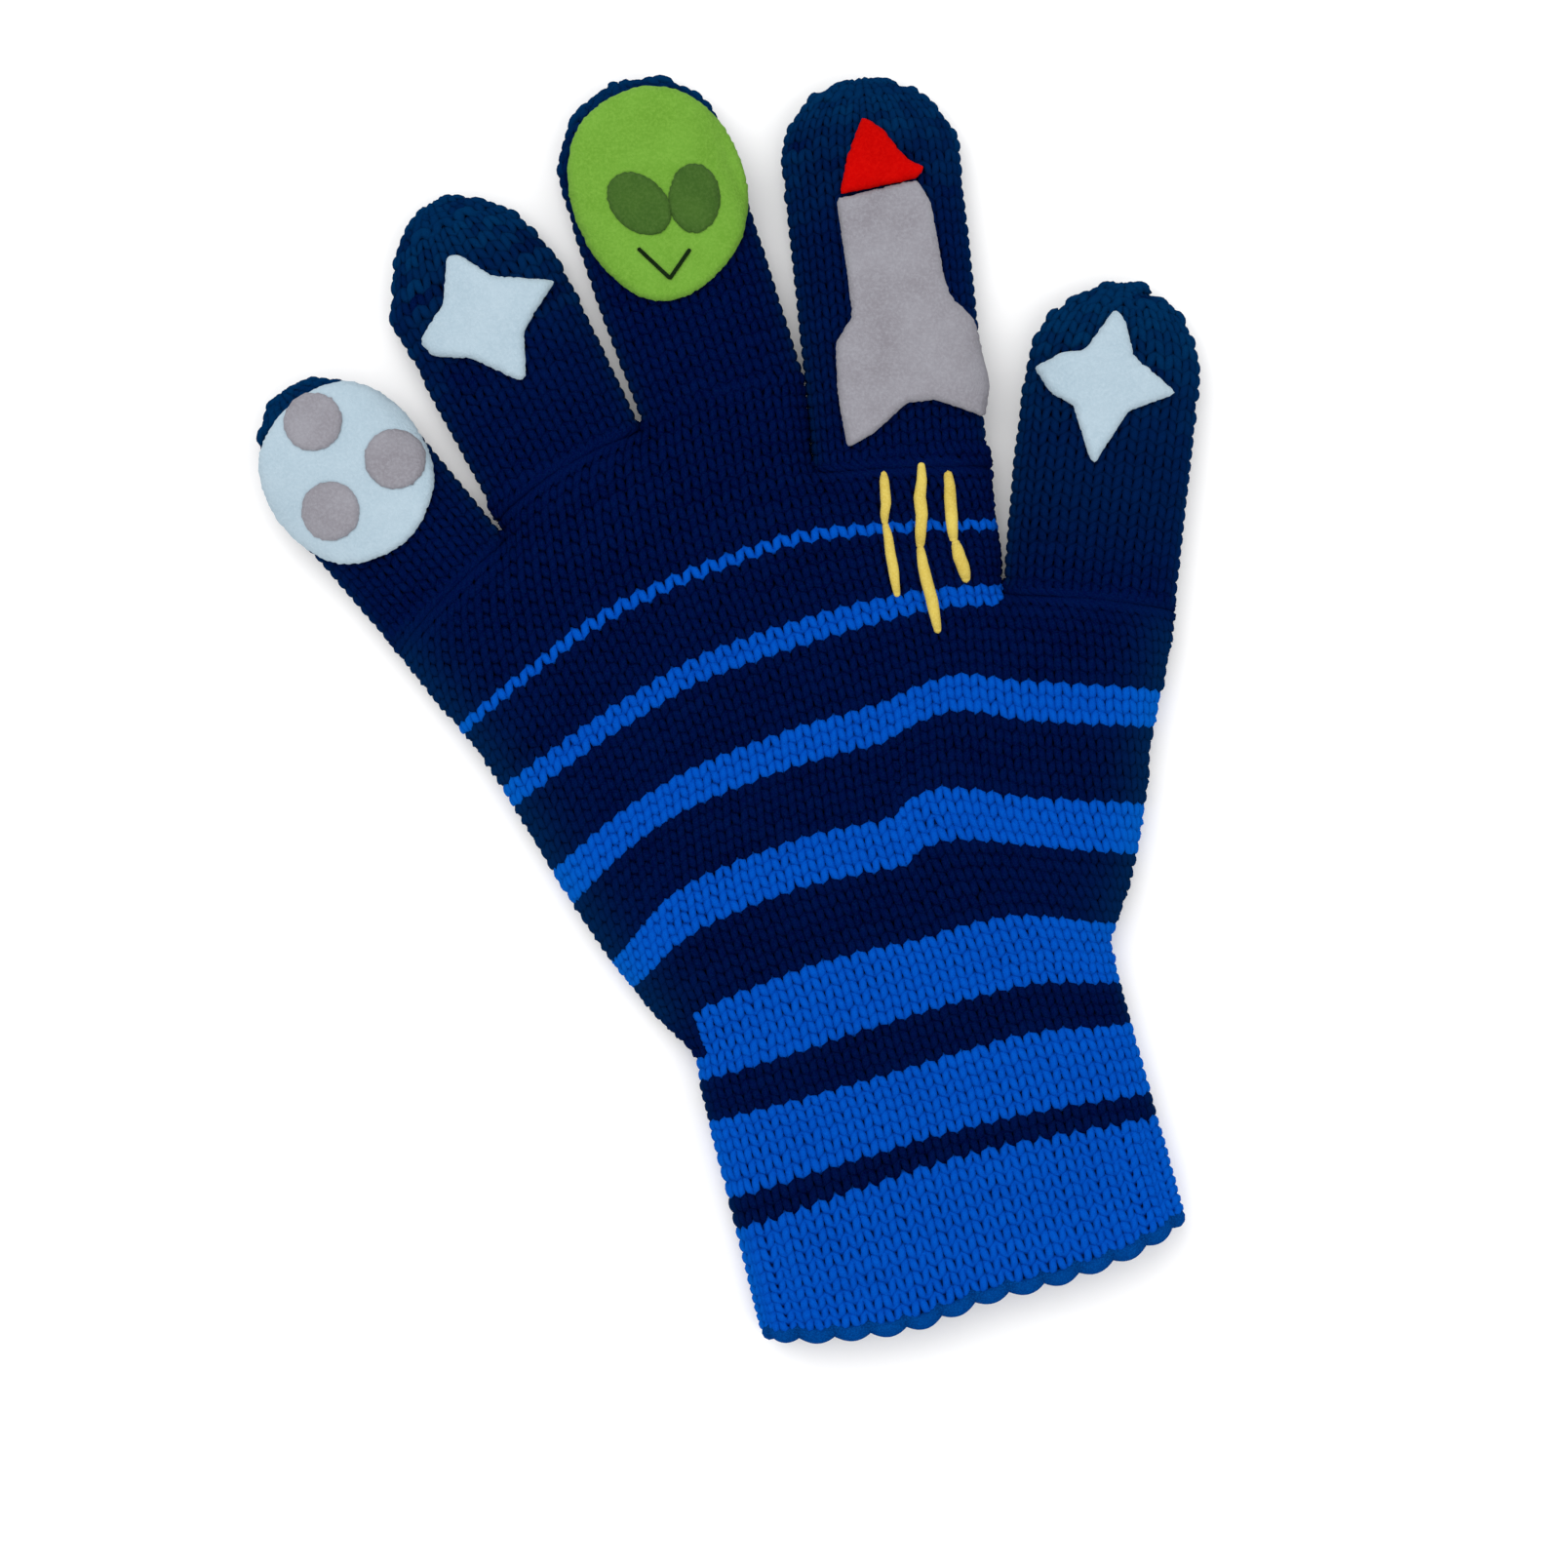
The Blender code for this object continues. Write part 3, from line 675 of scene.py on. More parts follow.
def finger_section(child, along):
    """Points round a finger stall at one place along it, in plan and height."""
    finger = FINGERS[child]
    half, straight, tip, lean = stall(child)
    share = np.clip((along - straight) / tip, 0, 0.999)
    half = half * math.sqrt(1 - share ** 2)
    shrink = (1 - share ** 2) ** TIP_ROUND
    angle = np.linspace(0, 2 * math.pi, SECTION, endpoint=False)
    # Across positions crowd towards the sides, where the section turns over.
    across = half * np.sin(angle)
    reach_in = half - np.abs(across)
    upper = np.cos(angle) >= 0
    top = SIDE_Z + (STALL_TOP_Z - SIDE_Z) * crown(reach_in, min(UPPER_ROUND, half)) * shrink
    low = SIDE_Z - (SIDE_Z - BOTTOM_Z) * crown(reach_in, min(LOWER_ROUND, half)) * shrink
    drift = finger["drift"] * (along / finger["length"]) ** 2
    pinch = PINCH * min(1.0, max(0.0, 1 - along / PINCH_REACH)) / half
    pinched = np.where(across < 0, child not in ("little", "index"), child != "thumb")
    across = across * (1 - pinch * pinched)
    if child == "ring":
        bulge = BUMP * math.exp(-((along - BUMP_AT) / BUMP_LENGTH) ** 2)
        across = across - bulge * np.clip(-across / half, 0, 1) ** 6
    plan = to_plan(child, across + lean + drift, np.full(SECTION, along))
    height = np.where(upper, top, low)
    height = height + upper * 0.18 * ripple(plan[:, 0] * 1.7, plan[:, 1] * 1.7) * crown(reach_in, half)
    return np.column_stack([plan, height])


def finger_stations(child):
    """Places along a finger of each course: even on the straight, then round the tip."""
    half, straight, tip, _ = stall(child)
    count = int(round(straight / COURSE))
    places = list(np.arange(count) * straight / count)
    turns = int(round((tip + half) / 2 * math.pi / 2 / COURSE))
    places += [straight + tip * math.sin(math.pi / 2 * k / turns) for k in range(turns + 1)]
    return np.array(places)


def knit_finger(child):
    """A finger stall's yarn, and the grid and outward directions that its lining shares."""
    _, straight, tip, _ = stall(child)
    places = finger_stations(child)
    loops = [finger_section(child, place) for place in [-2 * COURSE, -COURSE, *places]]
    grid, around = closed_grid(loops)
    normals = tube_normals(grid)
    yarn = Yarn()
    full = int(round(around[2] / WALE / 4)) * 4
    for row in range(len(places) - 1, -2, -1):
        along = places[row] if row >= 0 else -COURSE
        share = math.sqrt(max(0.0, 1 - max(0.0, (along - straight) / tip) ** 2))
        if share < 0.05:
            continue
        stitches = full if share > HALVED else full // 2 if share > QUARTERED else full // 4
        stitches = stitches if share > CLOSED else 4
        radius = YARN * min(1.25, max(0.7, around[row + 2] / stitches / WALE))
        near_tip = min(1.0, max(0.0, (along - straight + TIP_START) / TIP_REACH))
        # The yarn is tinted a paler teal along each finger, more so towards its tip.
        fade = FINGER_TINT[child] * min(1.0, max(0.0, along / 12)) + TIP_TINT * near_tip ** 1.5
        closed_course(yarn, grid, normals, row + 2.5, stitches, radius, swing=-SWING, fade=fade,
                      sink=0.60 if row < 0 else 0.0, lumps=TIP_LUMPS * near_tip)
    return yarn, grid, normals


def tube_shell(name, grid, normals, inset, stripes, cap):
    """A thin layer just inside the yarn, closed at the tip where cap is true; it stands for the knit's
    inside, painted darker than the yarn as painted shade.

    stripes is 1 for each row under blue courses and 0 elsewhere.
    """
    rows = len(grid)
    inner = (grid - normals * inset)[:, :LOOP:4]
    deeper = (grid - normals * (inset + LINING_THICK))[:, :LOOP:4]
    wide = inner.shape[1]
    points = np.concatenate([inner.reshape(-1, 3), deeper.reshape(-1, 3)])
    index = np.arange(rows * wide).reshape(rows, wide)
    outer = np.stack([index[:-1], np.roll(index[:-1], -1, 1), np.roll(index[1:], -1, 1), index[1:]], -1)
    faces = [outer.reshape(-1, 4), outer.reshape(-1, 4)[:, ::-1] + rows * wide]
    values = np.tile(np.repeat(stripes, wide), 2)
    rims = [0] if cap else [0, rows - 1]
    for rim in rims:
        a, b = index[rim], np.roll(index[rim], -1)
        quad = np.stack([a, b, b + rows * wide, a + rows * wide], -1)
        faces.append(quad[:, ::-1] if rim == 0 else quad)
    if cap:
        for offset, order in ((0, 1), (rows * wide, -1)):
            ring = index[-1] + offset
            points = np.vstack([points, points[ring].mean(axis=0)])
            values = np.append(values, stripes[-1])
            fan = np.column_stack([ring, np.roll(ring, -1), np.full(wide, len(points) - 1)])
            faces.append(fan[:, ::order])
    mesh = mesh_from(name, points, faces)
    set_values(mesh, "stripe", values)
    return add_piece(name, mesh, "shaded_lining")


# ---- materials
MATERIALS = {}


class Cloth:
    """One material, and the nodes that make it."""

    def __init__(self, name, slot):
        material = bpy.data.materials.new(name)
        material.use_nodes = True
        MATERIALS[name] = material
        self.nodes, self.links = material.node_tree.nodes, material.node_tree.links
        self.coords = self.nodes.new("ShaderNodeTexCoord").outputs["Object"]

    def fill(self, node, inputs):
        """Set a node's inputs to numbers or colours, or link them to other nodes' outputs."""
        for key, value in inputs.items():
            if isinstance(value, bpy.types.NodeSocket):
                self.links.new(value, node.inputs[key])
            else:
                node.inputs[key].default_value = (*value, 1.0) if isinstance(value, tuple) else value

    def noise(self, scale, detail, rough=0.5):
        texture = self.nodes.new("ShaderNodeTexNoise")
        self.fill(texture, {"Scale": scale, "Detail": detail, "Roughness": rough,
                            "Vector": self.coords})
        return texture.outputs["Fac"]

    def mix(self, factor, first, second):
        mix = self.nodes.new("ShaderNodeMix")
        mix.data_type = "RGBA"
        self.fill(mix, {0: factor, 6: first, 7: second})
        return mix.outputs[2]

    def remap(self, value, low, high, to_high=1.0):
        """Stretch a value from low to high over 0 to to_high."""
        span = self.nodes.new("ShaderNodeMapRange")
        self.fill(span, {"Value": value, "From Min": low, "From Max": high, "To Max": to_high})
        return span.outputs["Result"]

    def point_value(self, name):
        reader = self.nodes.new("ShaderNodeAttribute")
        reader.attribute_name = name
        return reader.outputs["Fac"]

    def finish(self, color, plain, specular, more=()):
        """Give the surface its colour, over the plain one that stands for it without nodes."""
        shader = self.nodes["Principled BSDF"]
        self.fill(shader, {"Base Color": plain, "Roughness": 0.95, "Specular IOR Level": specular})
        self.fill(shader, {"Base Color": color, **dict(more)})


def fibre_material(name, slot, dark, base, light, highlight_tint=None, fibre=5200.0, patch=420.0, bump=0.35,
                   sheen=0.03):
    """Fibrous cloth: slow colour drift, finer flecks, and fibres as bump.

    Yarn gives a paler teal colour, painted on as highlight where the knit turns over and as a tint
    towards the fingertips, and takes from its own points its drift and the painted shade and highlight
    of its stitches.
    """
    cloth = Cloth(name, slot)
    fine = cloth.remap(cloth.noise(fibre, 4.0, 0.65), 0.25, 0.75)
    if highlight_tint:
        ground = cloth.mix(cloth.point_value("tone"), dark, base)
        ground = cloth.mix(cloth.point_value("fade"), ground, highlight_tint)
    else:
        ground = cloth.mix(cloth.remap(cloth.noise(patch, 3.0), 0.3, 0.7), dark, base)
    final = cloth.mix(cloth.remap(fine, 0.35, 1.0, 0.75), ground, light)
    relief = cloth.nodes.new("ShaderNodeBump")
    cloth.fill(relief, {"Strength": bump, "Distance": 0.00018, "Height": fine})
    cloth.finish(final, base, 0.0 if highlight_tint else 0.02,
                 {"Sheen Weight": 0.0 if highlight_tint else sheen, "Sheen Roughness": 0.5,
                  "Normal": relief.outputs["Normal"]})


def striped_lining(name):
    """The inner layer, painted darker than the yarn as painted shade: dark navy under navy courses,
    darker blue under blue ones.
    """
    cloth = Cloth(name, "navy_knit")
    fine = cloth.noise(3000.0, 3.0)
    navy = cloth.mix(fine, (0.0003, 0.0008, 0.012), (0.0006, 0.002, 0.024))
    blue = cloth.mix(fine, (0.0005, 0.026, 0.19), (0.0006, 0.036, 0.25))
    final = cloth.mix(cloth.point_value("stripe"), navy, blue)
    cloth.finish(final, (0.0005, 0.001, 0.018), 0.02)


fibre_material("navy_yarn", "navy_knit", (0.0003, 0.0004, 0.022), (0.0004, 0.0032, 0.042),
               (0.0005, 0.0130, 0.066), highlight_tint=(0.0005, 0.024, 0.082))
fibre_material("blue_yarn", "blue_knit", (0.0006, 0.046, 0.34), (0.0008, 0.066, 0.42),
               (0.001, 0.098, 0.50), highlight_tint=(0.0008, 0.105, 0.42))
# The hem's yarn is the blue yarn painted darker: painted shade under the rolled edge.
fibre_material("shaded_hem_yarn", "blue_knit", (0.0004, 0.018, 0.10), (0.0005, 0.034, 0.18),
               (0.0008, 0.085, 0.36), highlight_tint=(0.0005, 0.05, 0.2))
striped_lining("shaded_lining")
for felt, *shades in (
        ("pale_felt", (0.33, 0.43, 0.50), (0.37, 0.47, 0.54), (0.42, 0.52, 0.59)),
        ("grey_felt", (0.21, 0.20, 0.225), (0.26, 0.255, 0.285), (0.31, 0.31, 0.345)),
        ("green_felt", (0.115, 0.27, 0.027), (0.14, 0.315, 0.037), (0.185, 0.37, 0.053)),
        ("dark_green_felt", (0.033, 0.085, 0.014), (0.048, 0.112, 0.018), (0.07, 0.14, 0.03)),
        ("red_felt", (0.40, 0.0008, 0.0005), (0.47, 0.001, 0.0006), (0.54, 0.004, 0.002))):
    fibre_material(felt, felt, *shades, fibre=2600.0, patch=180.0, bump=0.5,
                   sheen=0.0 if felt == "red_felt" else 0.03)
fibre_material("yellow_yarn", "yellow_yarn", (0.48, 0.35, 0.06), (0.58, 0.45, 0.09),
               (0.66, 0.54, 0.15), fibre=3800.0, patch=300.0, bump=0.4)
fibre_material("black_thread", "black_thread", (0.003, 0.010, 0.002), (0.005, 0.015, 0.004),
               (0.010, 0.025, 0.008), bump=0.3)
fibre_material("elastic_cover", "elastic_thread", (0.58, 0.58, 0.56), (0.68, 0.68, 0.66),
               (0.78, 0.78, 0.76), bump=0.3)


# ---- build the knit
def bend_with(piece):
    """Bake a piece's placement into its mesh."""
    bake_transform(piece)


def build_palm():
    """Knit both sides of the palm, and hand on the grid and depths of each."""
    sides = []
    for side, upper in (("front", True), ("back", False)):
        grid, depths = palm_grid(upper)
        normals = surface_normals(grid, upper)
        main = knit_palm(grid, normals, depths, range(FIRST_COURSE, BENT_COURSES))
        for color, yarn in main.items():
            piece = yarn.build("palm_" + side + "_" + color, color + "_yarn")
            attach(piece, "palm")
        lowest = knit_palm(grid, normals, depths, range(BENT_COURSES, CUFF_FIRST))
        for color, yarn in lowest.items():
            bend_with(yarn.build("wrist_" + side + "_" + color, color + "_yarn"))
        sides.append((grid, depths))
    return sides


def palm_stripes(places):
    """1 under the blue stitches and 0 under the navy ones, for plan points."""
    sparse = PLAN_ROWS[:, ::4]
    tree = KDTree(sparse.shape[0] * sparse.shape[1])
    for number, (x, y) in enumerate(sparse.reshape(-1, 2)):
        tree.insert((x, y, 0.0), number)
    tree.balance()
    nearest = np.array([tree.find((x, y, 0.0))[1] for x, y in places])
    return is_blue_at(nearest // sparse.shape[1] + ROW_START, places).astype(float)


def palm_lining():
    """The layer inside the palm, painted darker than the yarn as painted shade: two sheets joined along
    the outline.
    """
    step = 0.8
    plan = plan_grid(REGION_POLYGON.min(axis=0), REGION_POLYGON.max(axis=0) + step, step)
    depth = depth_inside(plan)
    keep = (depth > 0.55) & (to_local("cuff", plan)[1] < 1.0) & ~in_a_finger(plan, LINING_JOIN)
    used = keep[:-1, :-1] & keep[1:, :-1] & keep[:-1, 1:] & keep[1:, 1:]
    index = np.arange(depth.size).reshape(depth.shape)
    quads = np.stack([index[:-1, :-1], index[1:, :-1], index[1:, 1:], index[:-1, 1:]], -1)[used]
    inner_depth = np.maximum(depth - 0.3, 0.02)
    top = palm_height(plan, inner_depth, True) - LINING
    low = np.minimum(palm_height(plan, inner_depth, False) + LINING, top - 0.3)
    points = np.vstack([np.dstack([plan, top]).reshape(-1, 3), np.dstack([plan, low]).reshape(-1, 3)])
    faces = double_faces(quads, depth.size, depth.reshape(-1) < 2.2)
    used_points = np.unique(np.concatenate([group.reshape(-1) for group in faces]))
    renumber = np.zeros(len(points), int)
    renumber[used_points] = np.arange(len(used_points))
    mesh = mesh_from("palm_lining", points[used_points], [renumber[group] for group in faces])
    set_values(mesh, "stripe", palm_stripes(points[used_points, :2]))
    piece = add_piece("palm_lining", mesh, "shaded_lining")
    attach(piece, "palm")
    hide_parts("upper_palm", "lower_palm")


def build_fingers():
    nodes = {"little": "little_finger", "ring": "ring_finger", "middle": "middle_finger",
             "index": "index_finger", "thumb": "thumb"}
    for child in FINGERS:
        yarn, grid, normals = knit_finger(child)
        piece = yarn.build(child + "_knit", "navy_yarn")
        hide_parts(nodes[child])
        bend_with(piece)
        shaded_lining = tube_shell(child + "_lining", grid, normals, LINING, np.zeros(len(grid)), True)
        bend_with(shaded_lining)


CUFF_START = CUFF_FIRST - 2        # the course of the cuff grid's first row
CUFF_ROWS = LAST_COURSE - CUFF_START + 1


def cuff_loops(sides):
    """Closed courses of the cuff, joined from the upper and the lower side of the palm's rows."""
    loops = []
    middle = len(COLS) // 2
    for row in range(CUFF_START - ROW_START, len(ROWS)):
        halves = []
        for grid, depths in sides:
            right = middle + int(np.argmax(depths[row, middle:] < 0.02))
            left = middle - int(np.argmax(depths[row, middle::-1] < 0.02))
            halves.append((grid[row], left, right))
        (top, left, right), (low, low_left, low_right) = halves
        loops.append(np.vstack([top[middle:right], low[low_left + 1:low_right][::-1],
                                top[left:middle]]))
    return loops


def build_cuff(sides):
    grid, around = closed_grid(cuff_loops(sides))
    normals = tube_normals(grid)
    stitches = int(round(around[4] / stitch_width(CUFF_FIRST) / 2)) * 2
    yarns = {"navy": Yarn(), "blue": Yarn()}
    for course in range(CUFF_FIRST, LAST_COURSE + 1):
        color = "blue" if is_blue(course) else "navy"
        closed_course(yarns[color], grid, normals, course - CUFF_START, stitches, YARN,
                      ribbed=course >= RIB_FIRST)
    for color, yarn in yarns.items():
        piece = yarn.build("cuff_" + color, color + "_yarn")
        if color == "blue":
            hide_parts("ribbed_cuff")
        bend_with(piece)
    stripes = is_blue(CUFF_START + np.arange(1, CUFF_ROWS + 1)).astype(float)
    shaded_lining = tube_shell("cuff_lining", grid[1:CUFF_ROWS + 1], normals[1:CUFF_ROWS + 1],
                        LINING + 0.15, stripes, False)
    bend_with(shaded_lining)
    build_hem(grid, normals, stitches)
    build_elastics(grid, normals)


def build_hem(grid, normals, stitches):
    """A thick edge yarn that swells over every second stitch, painted darker in the dips between the
    swellings as painted shade.
    """
    hem = Yarn(10)
    count = stitches * SAMPLES
    share = np.arange(count) / count
    bulge = np.abs(np.cos(share * stitches * math.pi / 2))
    spots, outs = on_grid(grid, normals, CUFF_ROWS - 0.45 + 0.45 * bulge, share * LOOP)
    hem.add(spots - outs * 0.45, outs, 0.85 + 0.25 * bulge, 0.05 + 0.9 * bulge, closed=True)
    piece = hem.build("cuff_hem", "shaded_hem_yarn")
    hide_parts("cuff_edge")
    bend_with(piece)


def build_elastics(grid, normals):
    """Thin elastic threads inside the cuff, each along one row of its grid."""
    for number, row in enumerate((5.0, 9.0, 13.0, 18.0), 1):
        elastic = Yarn()
        spots, outs = on_grid(grid, normals, np.full(LOOP, row), np.arange(LOOP, dtype=float))
        elastic.add(spots - outs * (LINING + 1.1), outs, np.full(LOOP, 0.3), np.full(LOOP, 0.5),
                    closed=True)
        piece = elastic.build("cuff_elastic_cord_" + str(number), "elastic_cover")
        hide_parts("cuff_elastic_" + str(number))
        bend_with(piece)


# ---- felt shapes
FELT = 1.0                 # felt thickness
THIN_FELT = 0.6
FELT_LIFT = 0.75           # from the yarn's centre to the underside of felt
FELT_DROP = 2.9            # the most that felt bends down from the top of a stall
FELT_EASE = 0.75           # width over which its edge thins
FUZZ = 0.05                # random unevenness of its outline
UP = np.array([0, 0, 1.0])


def felt_ground(child, across, along):
    """Height of felt's underside over a finger: felt follows the knit, but bends less than it."""
    half, straight, tip, lean = stall(child)
    past = np.clip((along - straight) / tip, 0, 1)
    shrink = (1 - (0.88 * past) ** 2) ** TIP_ROUND
    reach_in = np.maximum(half - np.abs(across - lean), -0.9) + 1.3
    over = crown(reach_in, UPPER_ROUND) * shrink
    return FELT_LIFT + np.maximum(SIDE_Z + (STALL_TOP_Z - SIDE_Z) * over, TOP_Z - FELT_DROP)


def even_outline(points, spacing=0.38, rounds=3):
    """A closed outline with evenly spaced points, its corners softened by averaging."""
    path = np.vstack([points, points[:1]])
    lengths = arc_lengths(path)
    count = int(round(lengths[-1] / spacing))
    out = lookup(path, lengths, np.arange(count) * lengths[-1] / count)
    for _ in range(rounds):
        out = (np.roll(out, 1, axis=0) + 2 * out + np.roll(out, -1, axis=0)) / 4
    return out


def make_felt(name, child, outline, thick, material, node, rise=0.0):
    """A felt shape with soft edges, lying over a finger; outline is across and along it."""
    border = even_outline(np.array(outline, float))
    fuzz = RANDOM.normal(0, FUZZ, len(border))
    border = border + unit(border - border.mean(axis=0)) * fuzz[:, None]
    spots = plan_grid(border.min(axis=0), border.max(axis=0), 0.55).reshape(-1, 2)
    spots = spots + RANDOM.uniform(-0.12, 0.12, spots.shape)
    segments = list(zip(border, np.roll(border, -1, axis=0)))
    spots = spots[inside(spots, border) & (distance(spots, segments) > 0.28)]
    every = [Vector(p) for p in np.vstack([border, spots])]
    loop = list(range(len(border)))
    verts, _, triangles, _, _, _ = delaunay_2d_cdt(every, [], [loop], 1, 1e-6)
    flat = np.array([(v.x, v.y) for v in verts])
    triangles = np.array(triangles)
    a, b, c = (flat[triangles[:, k]] for k in range(3))
    turn = (b - a)[:, 0] * (c - a)[:, 1] - (b - a)[:, 1] * (c - a)[:, 0]
    triangles[turn < 0] = triangles[turn < 0][:, ::-1]
    depth = distance(flat, segments)
    depth[depth < 1e-3] = 0.0
    height = thick * (0.45 + 0.55 * crown(depth, FELT_EASE))
    height = height + (depth > 0) * RANDOM.normal(0, 0.035, len(flat))
    under = felt_ground(child, flat[:, 0], flat[:, 1]) + rise
    plan = to_plan(child, flat[:, 0], flat[:, 1])
    points = np.vstack([np.column_stack([plan, under + height]), np.column_stack([plan, under])])
    piece = add_piece(name, mesh_from(name, points, double_faces(triangles, len(flat))), material)
    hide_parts(node)
    bend_with(piece)
    return piece


def oval_outline(center, radii, tilt, steps=48):
    """An oval whose long axis leans to the left of the finger's by tilt degrees."""
    angle, lean = np.linspace(0, 2 * math.pi, steps, endpoint=False), math.radians(tilt)
    across, along = radii[0] * np.cos(angle), radii[1] * np.sin(angle)
    return np.column_stack([center[0] + across * math.cos(lean) - along * math.sin(lean),
                            center[1] + across * math.sin(lean) + along * math.cos(lean)])


def rounded(points):
    """A closed outline curving smoothly through its points."""
    path = np.array(points, float)
    around = (np.roll(path, shift, axis=0)[:, None] for shift in (1, 0, -1, -2))
    t = np.linspace(0, 1, 8, endpoint=False)[None, :, None]
    return catmull_rom(*around, t).reshape(-1, 2)


# Felt shapes, as places across and along their finger; ovals as centre, radii and tilt in degrees.
MOON = [(-7, 28.5), (1, 31), (8.5, 28.2), (11, 20.5), (8.5, 12), (0.5, 8), (-8, 11.5), (-10.5, 20.5)]
CRATERS = [((1.4, 27.3), (3.8, 3.8), 0), ((6.2, 16.8), (3.9, 3.9), 0), ((-4.4, 17.2), (3.8, 3.8), 0)]
RING_STAR = [(-1, 30.5), (0.5, 30), (3, 25.5), (10, 21.5), (3.5, 17.5), (1, 12), (0, 12),
             (-4, 17.3), (-8.5, 20), (-9, 22.5), (-4, 25.3)]
THUMB_STAR = [(-1, 37), (0.5, 35.5), (2, 31), (8, 27), (2, 24), (-0.8, 18.5), (-1.5, 16.8),
              (-2.3, 17.5), (-5, 24), (-8, 25.3), (-10.5, 28.5), (-7, 30.7), (-4.3, 31.2)]
HEAD = [(1.5, 41), (-5.5, 38.8), (-9.6, 32), (-9.6, 23), (-5.5, 15.2), (1, 13.6), (8.5, 17.5),
        (12.2, 25), (11.5, 33.5), (7.5, 39)]
EYES = {"eye_left": ((-1.8, 26.5), (3.4, 4.7), 27), "eye_right": ((5.1, 24.8), (3.3, 4.5), -20)}
ROCKET_NOSE = [(-5, 34), (-3.7, 38.5), (-1.2, 43.8), (1.4, 41.7), (3, 39), (4.5, 37.3), (6.2, 36.6),
               (5, 35.2)]
ROCKET_BODY = [(-5.5, 33.5), (5, 35), (6.5, 32), (7.3, 22.3), (8, 19.7), (10.8, 16.8), (12, 8.3),
               (11, 4.2), (4.4, 6.9), (1, 6.7), (-3.3, 3.4), (-7, 1.7), (-7.6, 8.6), (-7.3, 15.2),
               (-4.8, 18.5), (-5, 24)]
SMILE = [(-3.8, 21.1), (-1.3, 16.2), (2.3, 18.8)]
# Two stitches in a row each: start, place where the yarn dives, end and width.
FLAMES = [
    [(20.1, 30.6), (20.2, 24.0), (21.8, 14.8), 1.35],
    [(24.8, 31.7), (24.6, 21.0), (27.0, 10.2), 1.6],
    [(28.2, 30.6), (29.0, 21.8), (30.6, 16.7), 1.65],
]


def build_felt():
    moon = make_felt("moon", "little", rounded(MOON), FELT, "pale_felt", "moon_patch")
    craters = [make_felt("crater_" + str(number), "little", oval_outline(*crater), THIN_FELT,
                         "grey_felt", "moon_crater_" + str(number), FELT - 0.05)
               for number, crater in enumerate(CRATERS, 1)]
    ring_star = make_felt("ring_star", "ring", RING_STAR, FELT, "pale_felt", "ring_star_patch")
    thumb_star = make_felt("thumb_star", "thumb", THUMB_STAR, FELT, "pale_felt", "thumb_star_patch")
    head = make_felt("alien_head", "middle", rounded(HEAD), FELT, "green_felt", "alien_head_patch")
    eyes = [make_felt(name, "middle", oval_outline(*eye), THIN_FELT, "dark_green_felt",
                      "alien_" + name, FELT - 0.05) for name, eye in EYES.items()]
    make_smile()
    nose = make_felt("rocket_tip", "index", ROCKET_NOSE, FELT, "red_felt", "rocket_nose")
    body = make_felt("rocket_hull", "index", ROCKET_BODY, FELT, "grey_felt", "rocket_body")


def make_smile():
    """A thin thread in two stitches over the head's felt."""
    count = 60
    path = np.array(SMILE)
    lengths = arc_lengths(path)
    across, along = lookup(path, lengths, np.linspace(0, lengths[-1], count)).T
    height = felt_ground("middle", across, along) + FELT + 0.12
    height = height + 0.10 * np.abs(np.sin(np.linspace(0, 5 * math.pi, count)))
    thread = Yarn()
    thread.add(np.column_stack([to_plan("middle", across, along), height]), UP,
               np.full(count, 0.27), np.full(count, 0.5))
    piece = thread.build("smile_thread", "black_thread")
    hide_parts("alien_smile")
    bend_with(piece)
    return piece


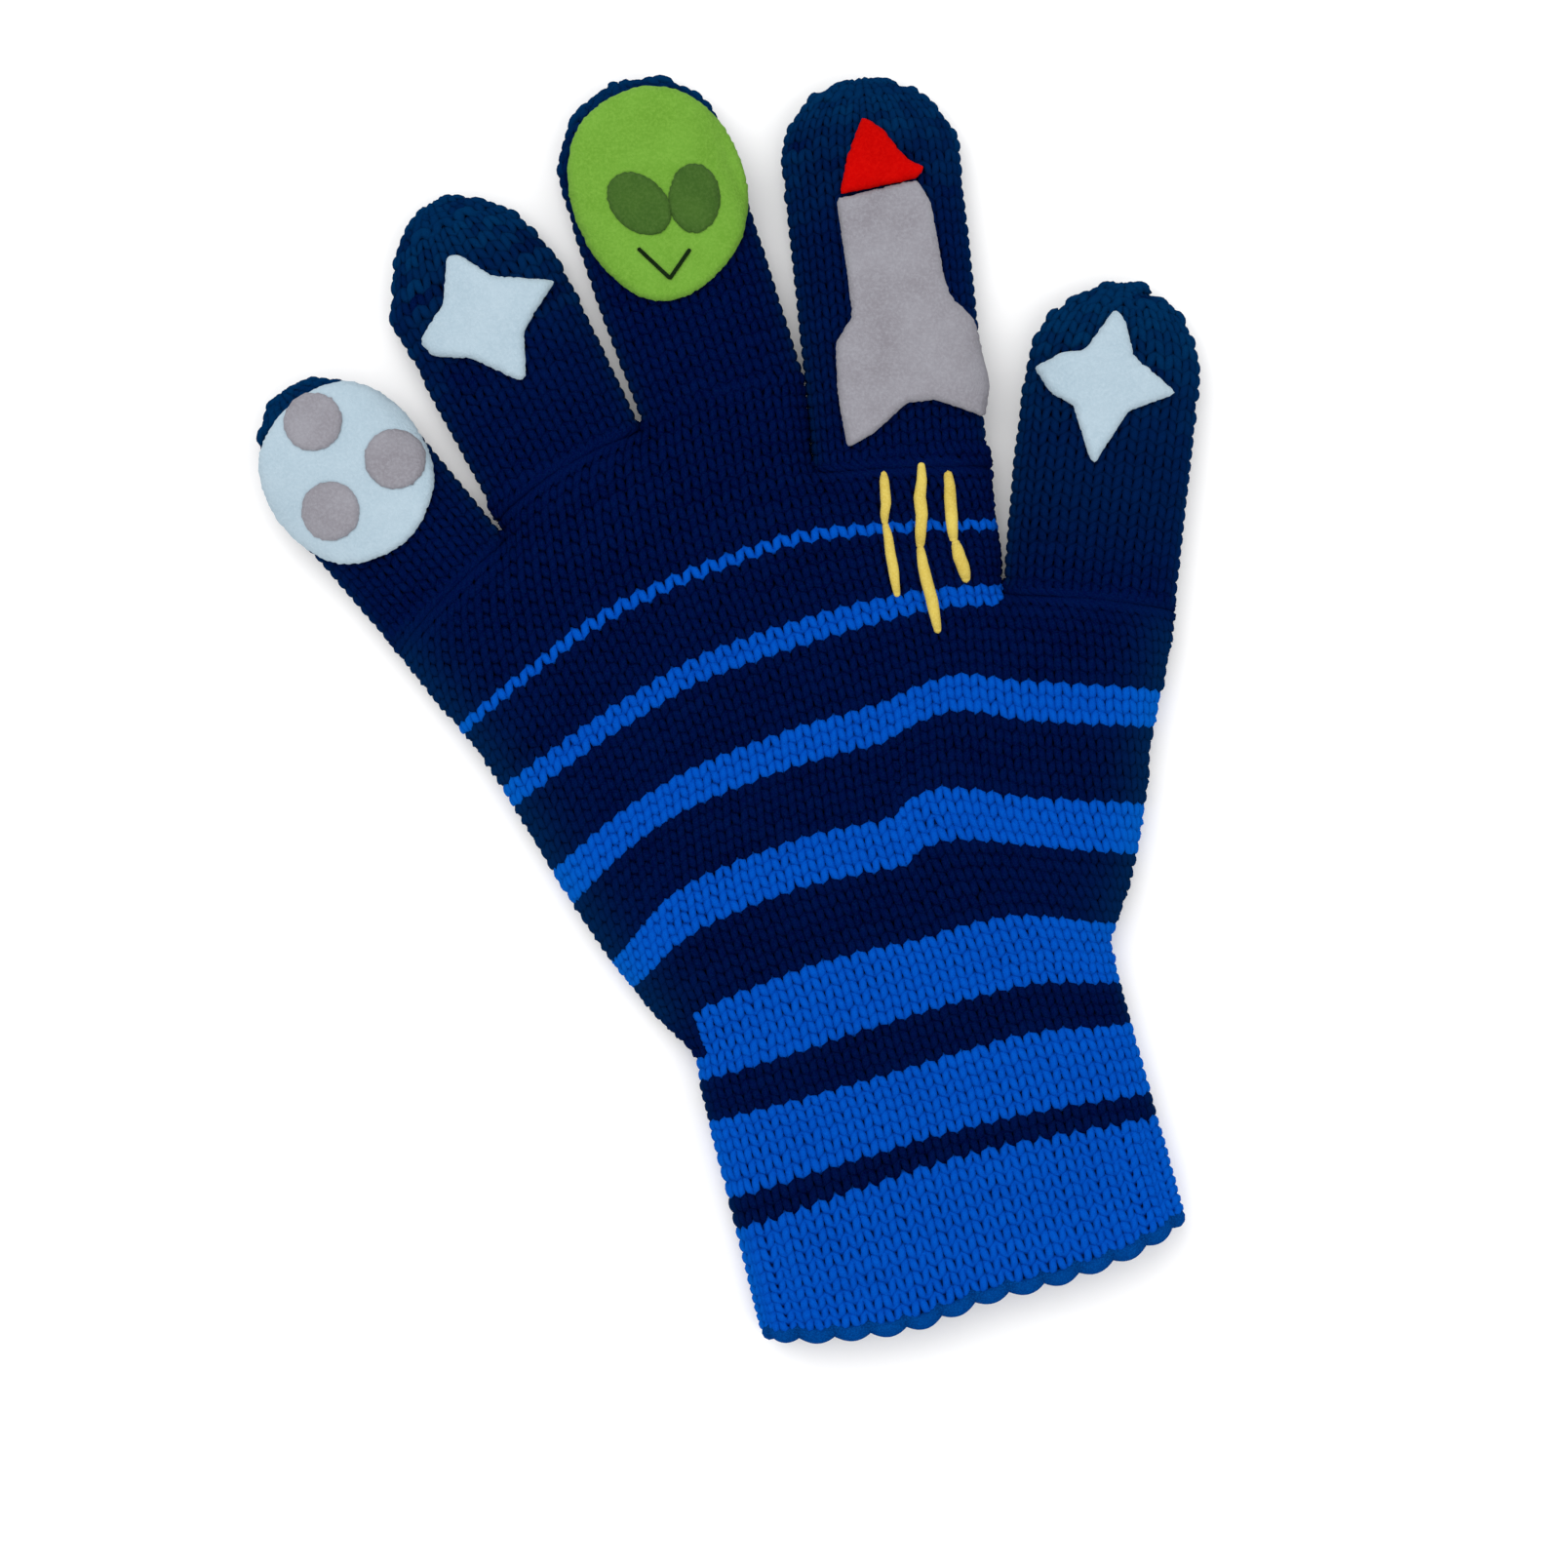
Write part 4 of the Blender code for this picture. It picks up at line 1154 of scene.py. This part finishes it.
def build_flames():
    """Thick yarn stitches, swelling in the middle and drawn into the knit at both ends."""
    count = 60
    share = np.linspace(0, 1, count)
    stitches = [(np.array(first), np.array(second), width) for start, dive, end, width in FLAMES
                for first, second in ((start, dive), (dive, end))]
    for number, (first, second, width) in enumerate(stitches, 1):
        length = np.linalg.norm(second - first)
        sideways = np.array([second[1] - first[1], first[0] - second[0]]) / length
        plan = first + (second - first) * share[:, None]
        plan = plan + sideways * wobble(count, 12, 0.07)[:, None]
        bow = np.clip(np.minimum(share, 1 - share) * length / 2.0, 0.25, 1.0)
        height = palm_height(plan, depth_inside(plan), True) + 0.15 + 0.85 * np.sin(bow * math.pi / 2)
        fat = 0.52 + 0.48 * np.sin(share * math.pi) ** 0.55 + wobble(count, 10, 0.03)
        strand = Yarn(12)
        strand.add(np.column_stack([plan, height]), UP, width / 2 * fat, np.full(count, 0.5),
                   flat=0.8)
        piece = strand.build("flame_" + str(number), "yellow_yarn")
        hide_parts("flame_stitch_" + str(number))
        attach(piece, "palm")


palm_sides = build_palm()
palm_lining()
build_fingers()
build_cuff(palm_sides)
build_felt()
build_flames()


# ---- floor, light and camera
def build_stage():
    mesh = bpy.data.meshes.new("floor")
    corners = [(-4, -4), (4, -4), (4, 4), (-4, 4)]
    mesh.from_pydata([(x, y, -0.0002) for x, y in corners], [], [(0, 1, 2, 3)])
    floor = add_object("floor", mesh)
    material = bpy.data.materials.new("floor_white")
    material.use_nodes = True
    shader = material.node_tree.nodes["Principled BSDF"]
    shader.inputs["Base Color"].default_value = (0.95, 0.95, 0.95, 1.0)
    shader.inputs["Roughness"].default_value = 1.0
    shader.inputs["Specular IOR Level"].default_value = 0.0
    floor.data.materials.append(material)


def add_light(name, place, power):
    """A round lamp aimed at the glove's middle."""
    light = bpy.data.lights.new(name, "AREA")
    light.shape = "DISK"
    light.size = 1.0
    light.energy = power
    lamp = add_object(name, light)
    lamp.location = place
    lamp.rotation_euler = (-Vector(place)).to_track_quat("-Z", "Y").to_euler()


def build_lights():
    world = bpy.data.worlds.new("studio")
    bpy.context.scene.world = world
    world.use_nodes = True
    background = world.node_tree.nodes["Background"]
    background.inputs["Color"].default_value = (1.0, 1.0, 1.0, 1.0)
    background.inputs["Strength"].default_value = 0.88
    add_light("key", (-0.3, 0.4, 1.0), 6.0)
    add_light("fill", (0.5, -0.3, 0.9), 2.5)


def build_camera():
    """Straight down over the glove."""
    data = bpy.data.cameras.new("camera")
    data.lens = 100.0
    data.sensor_width = 36.0
    data.clip_start = 0.01
    camera = add_object("camera", data)
    camera.location = (0.00725, -0.00919, 0.566)
    bpy.context.scene.camera = camera


build_stage()
build_lights()
build_camera()
bpy.context.scene.view_settings.view_transform = "Standard"
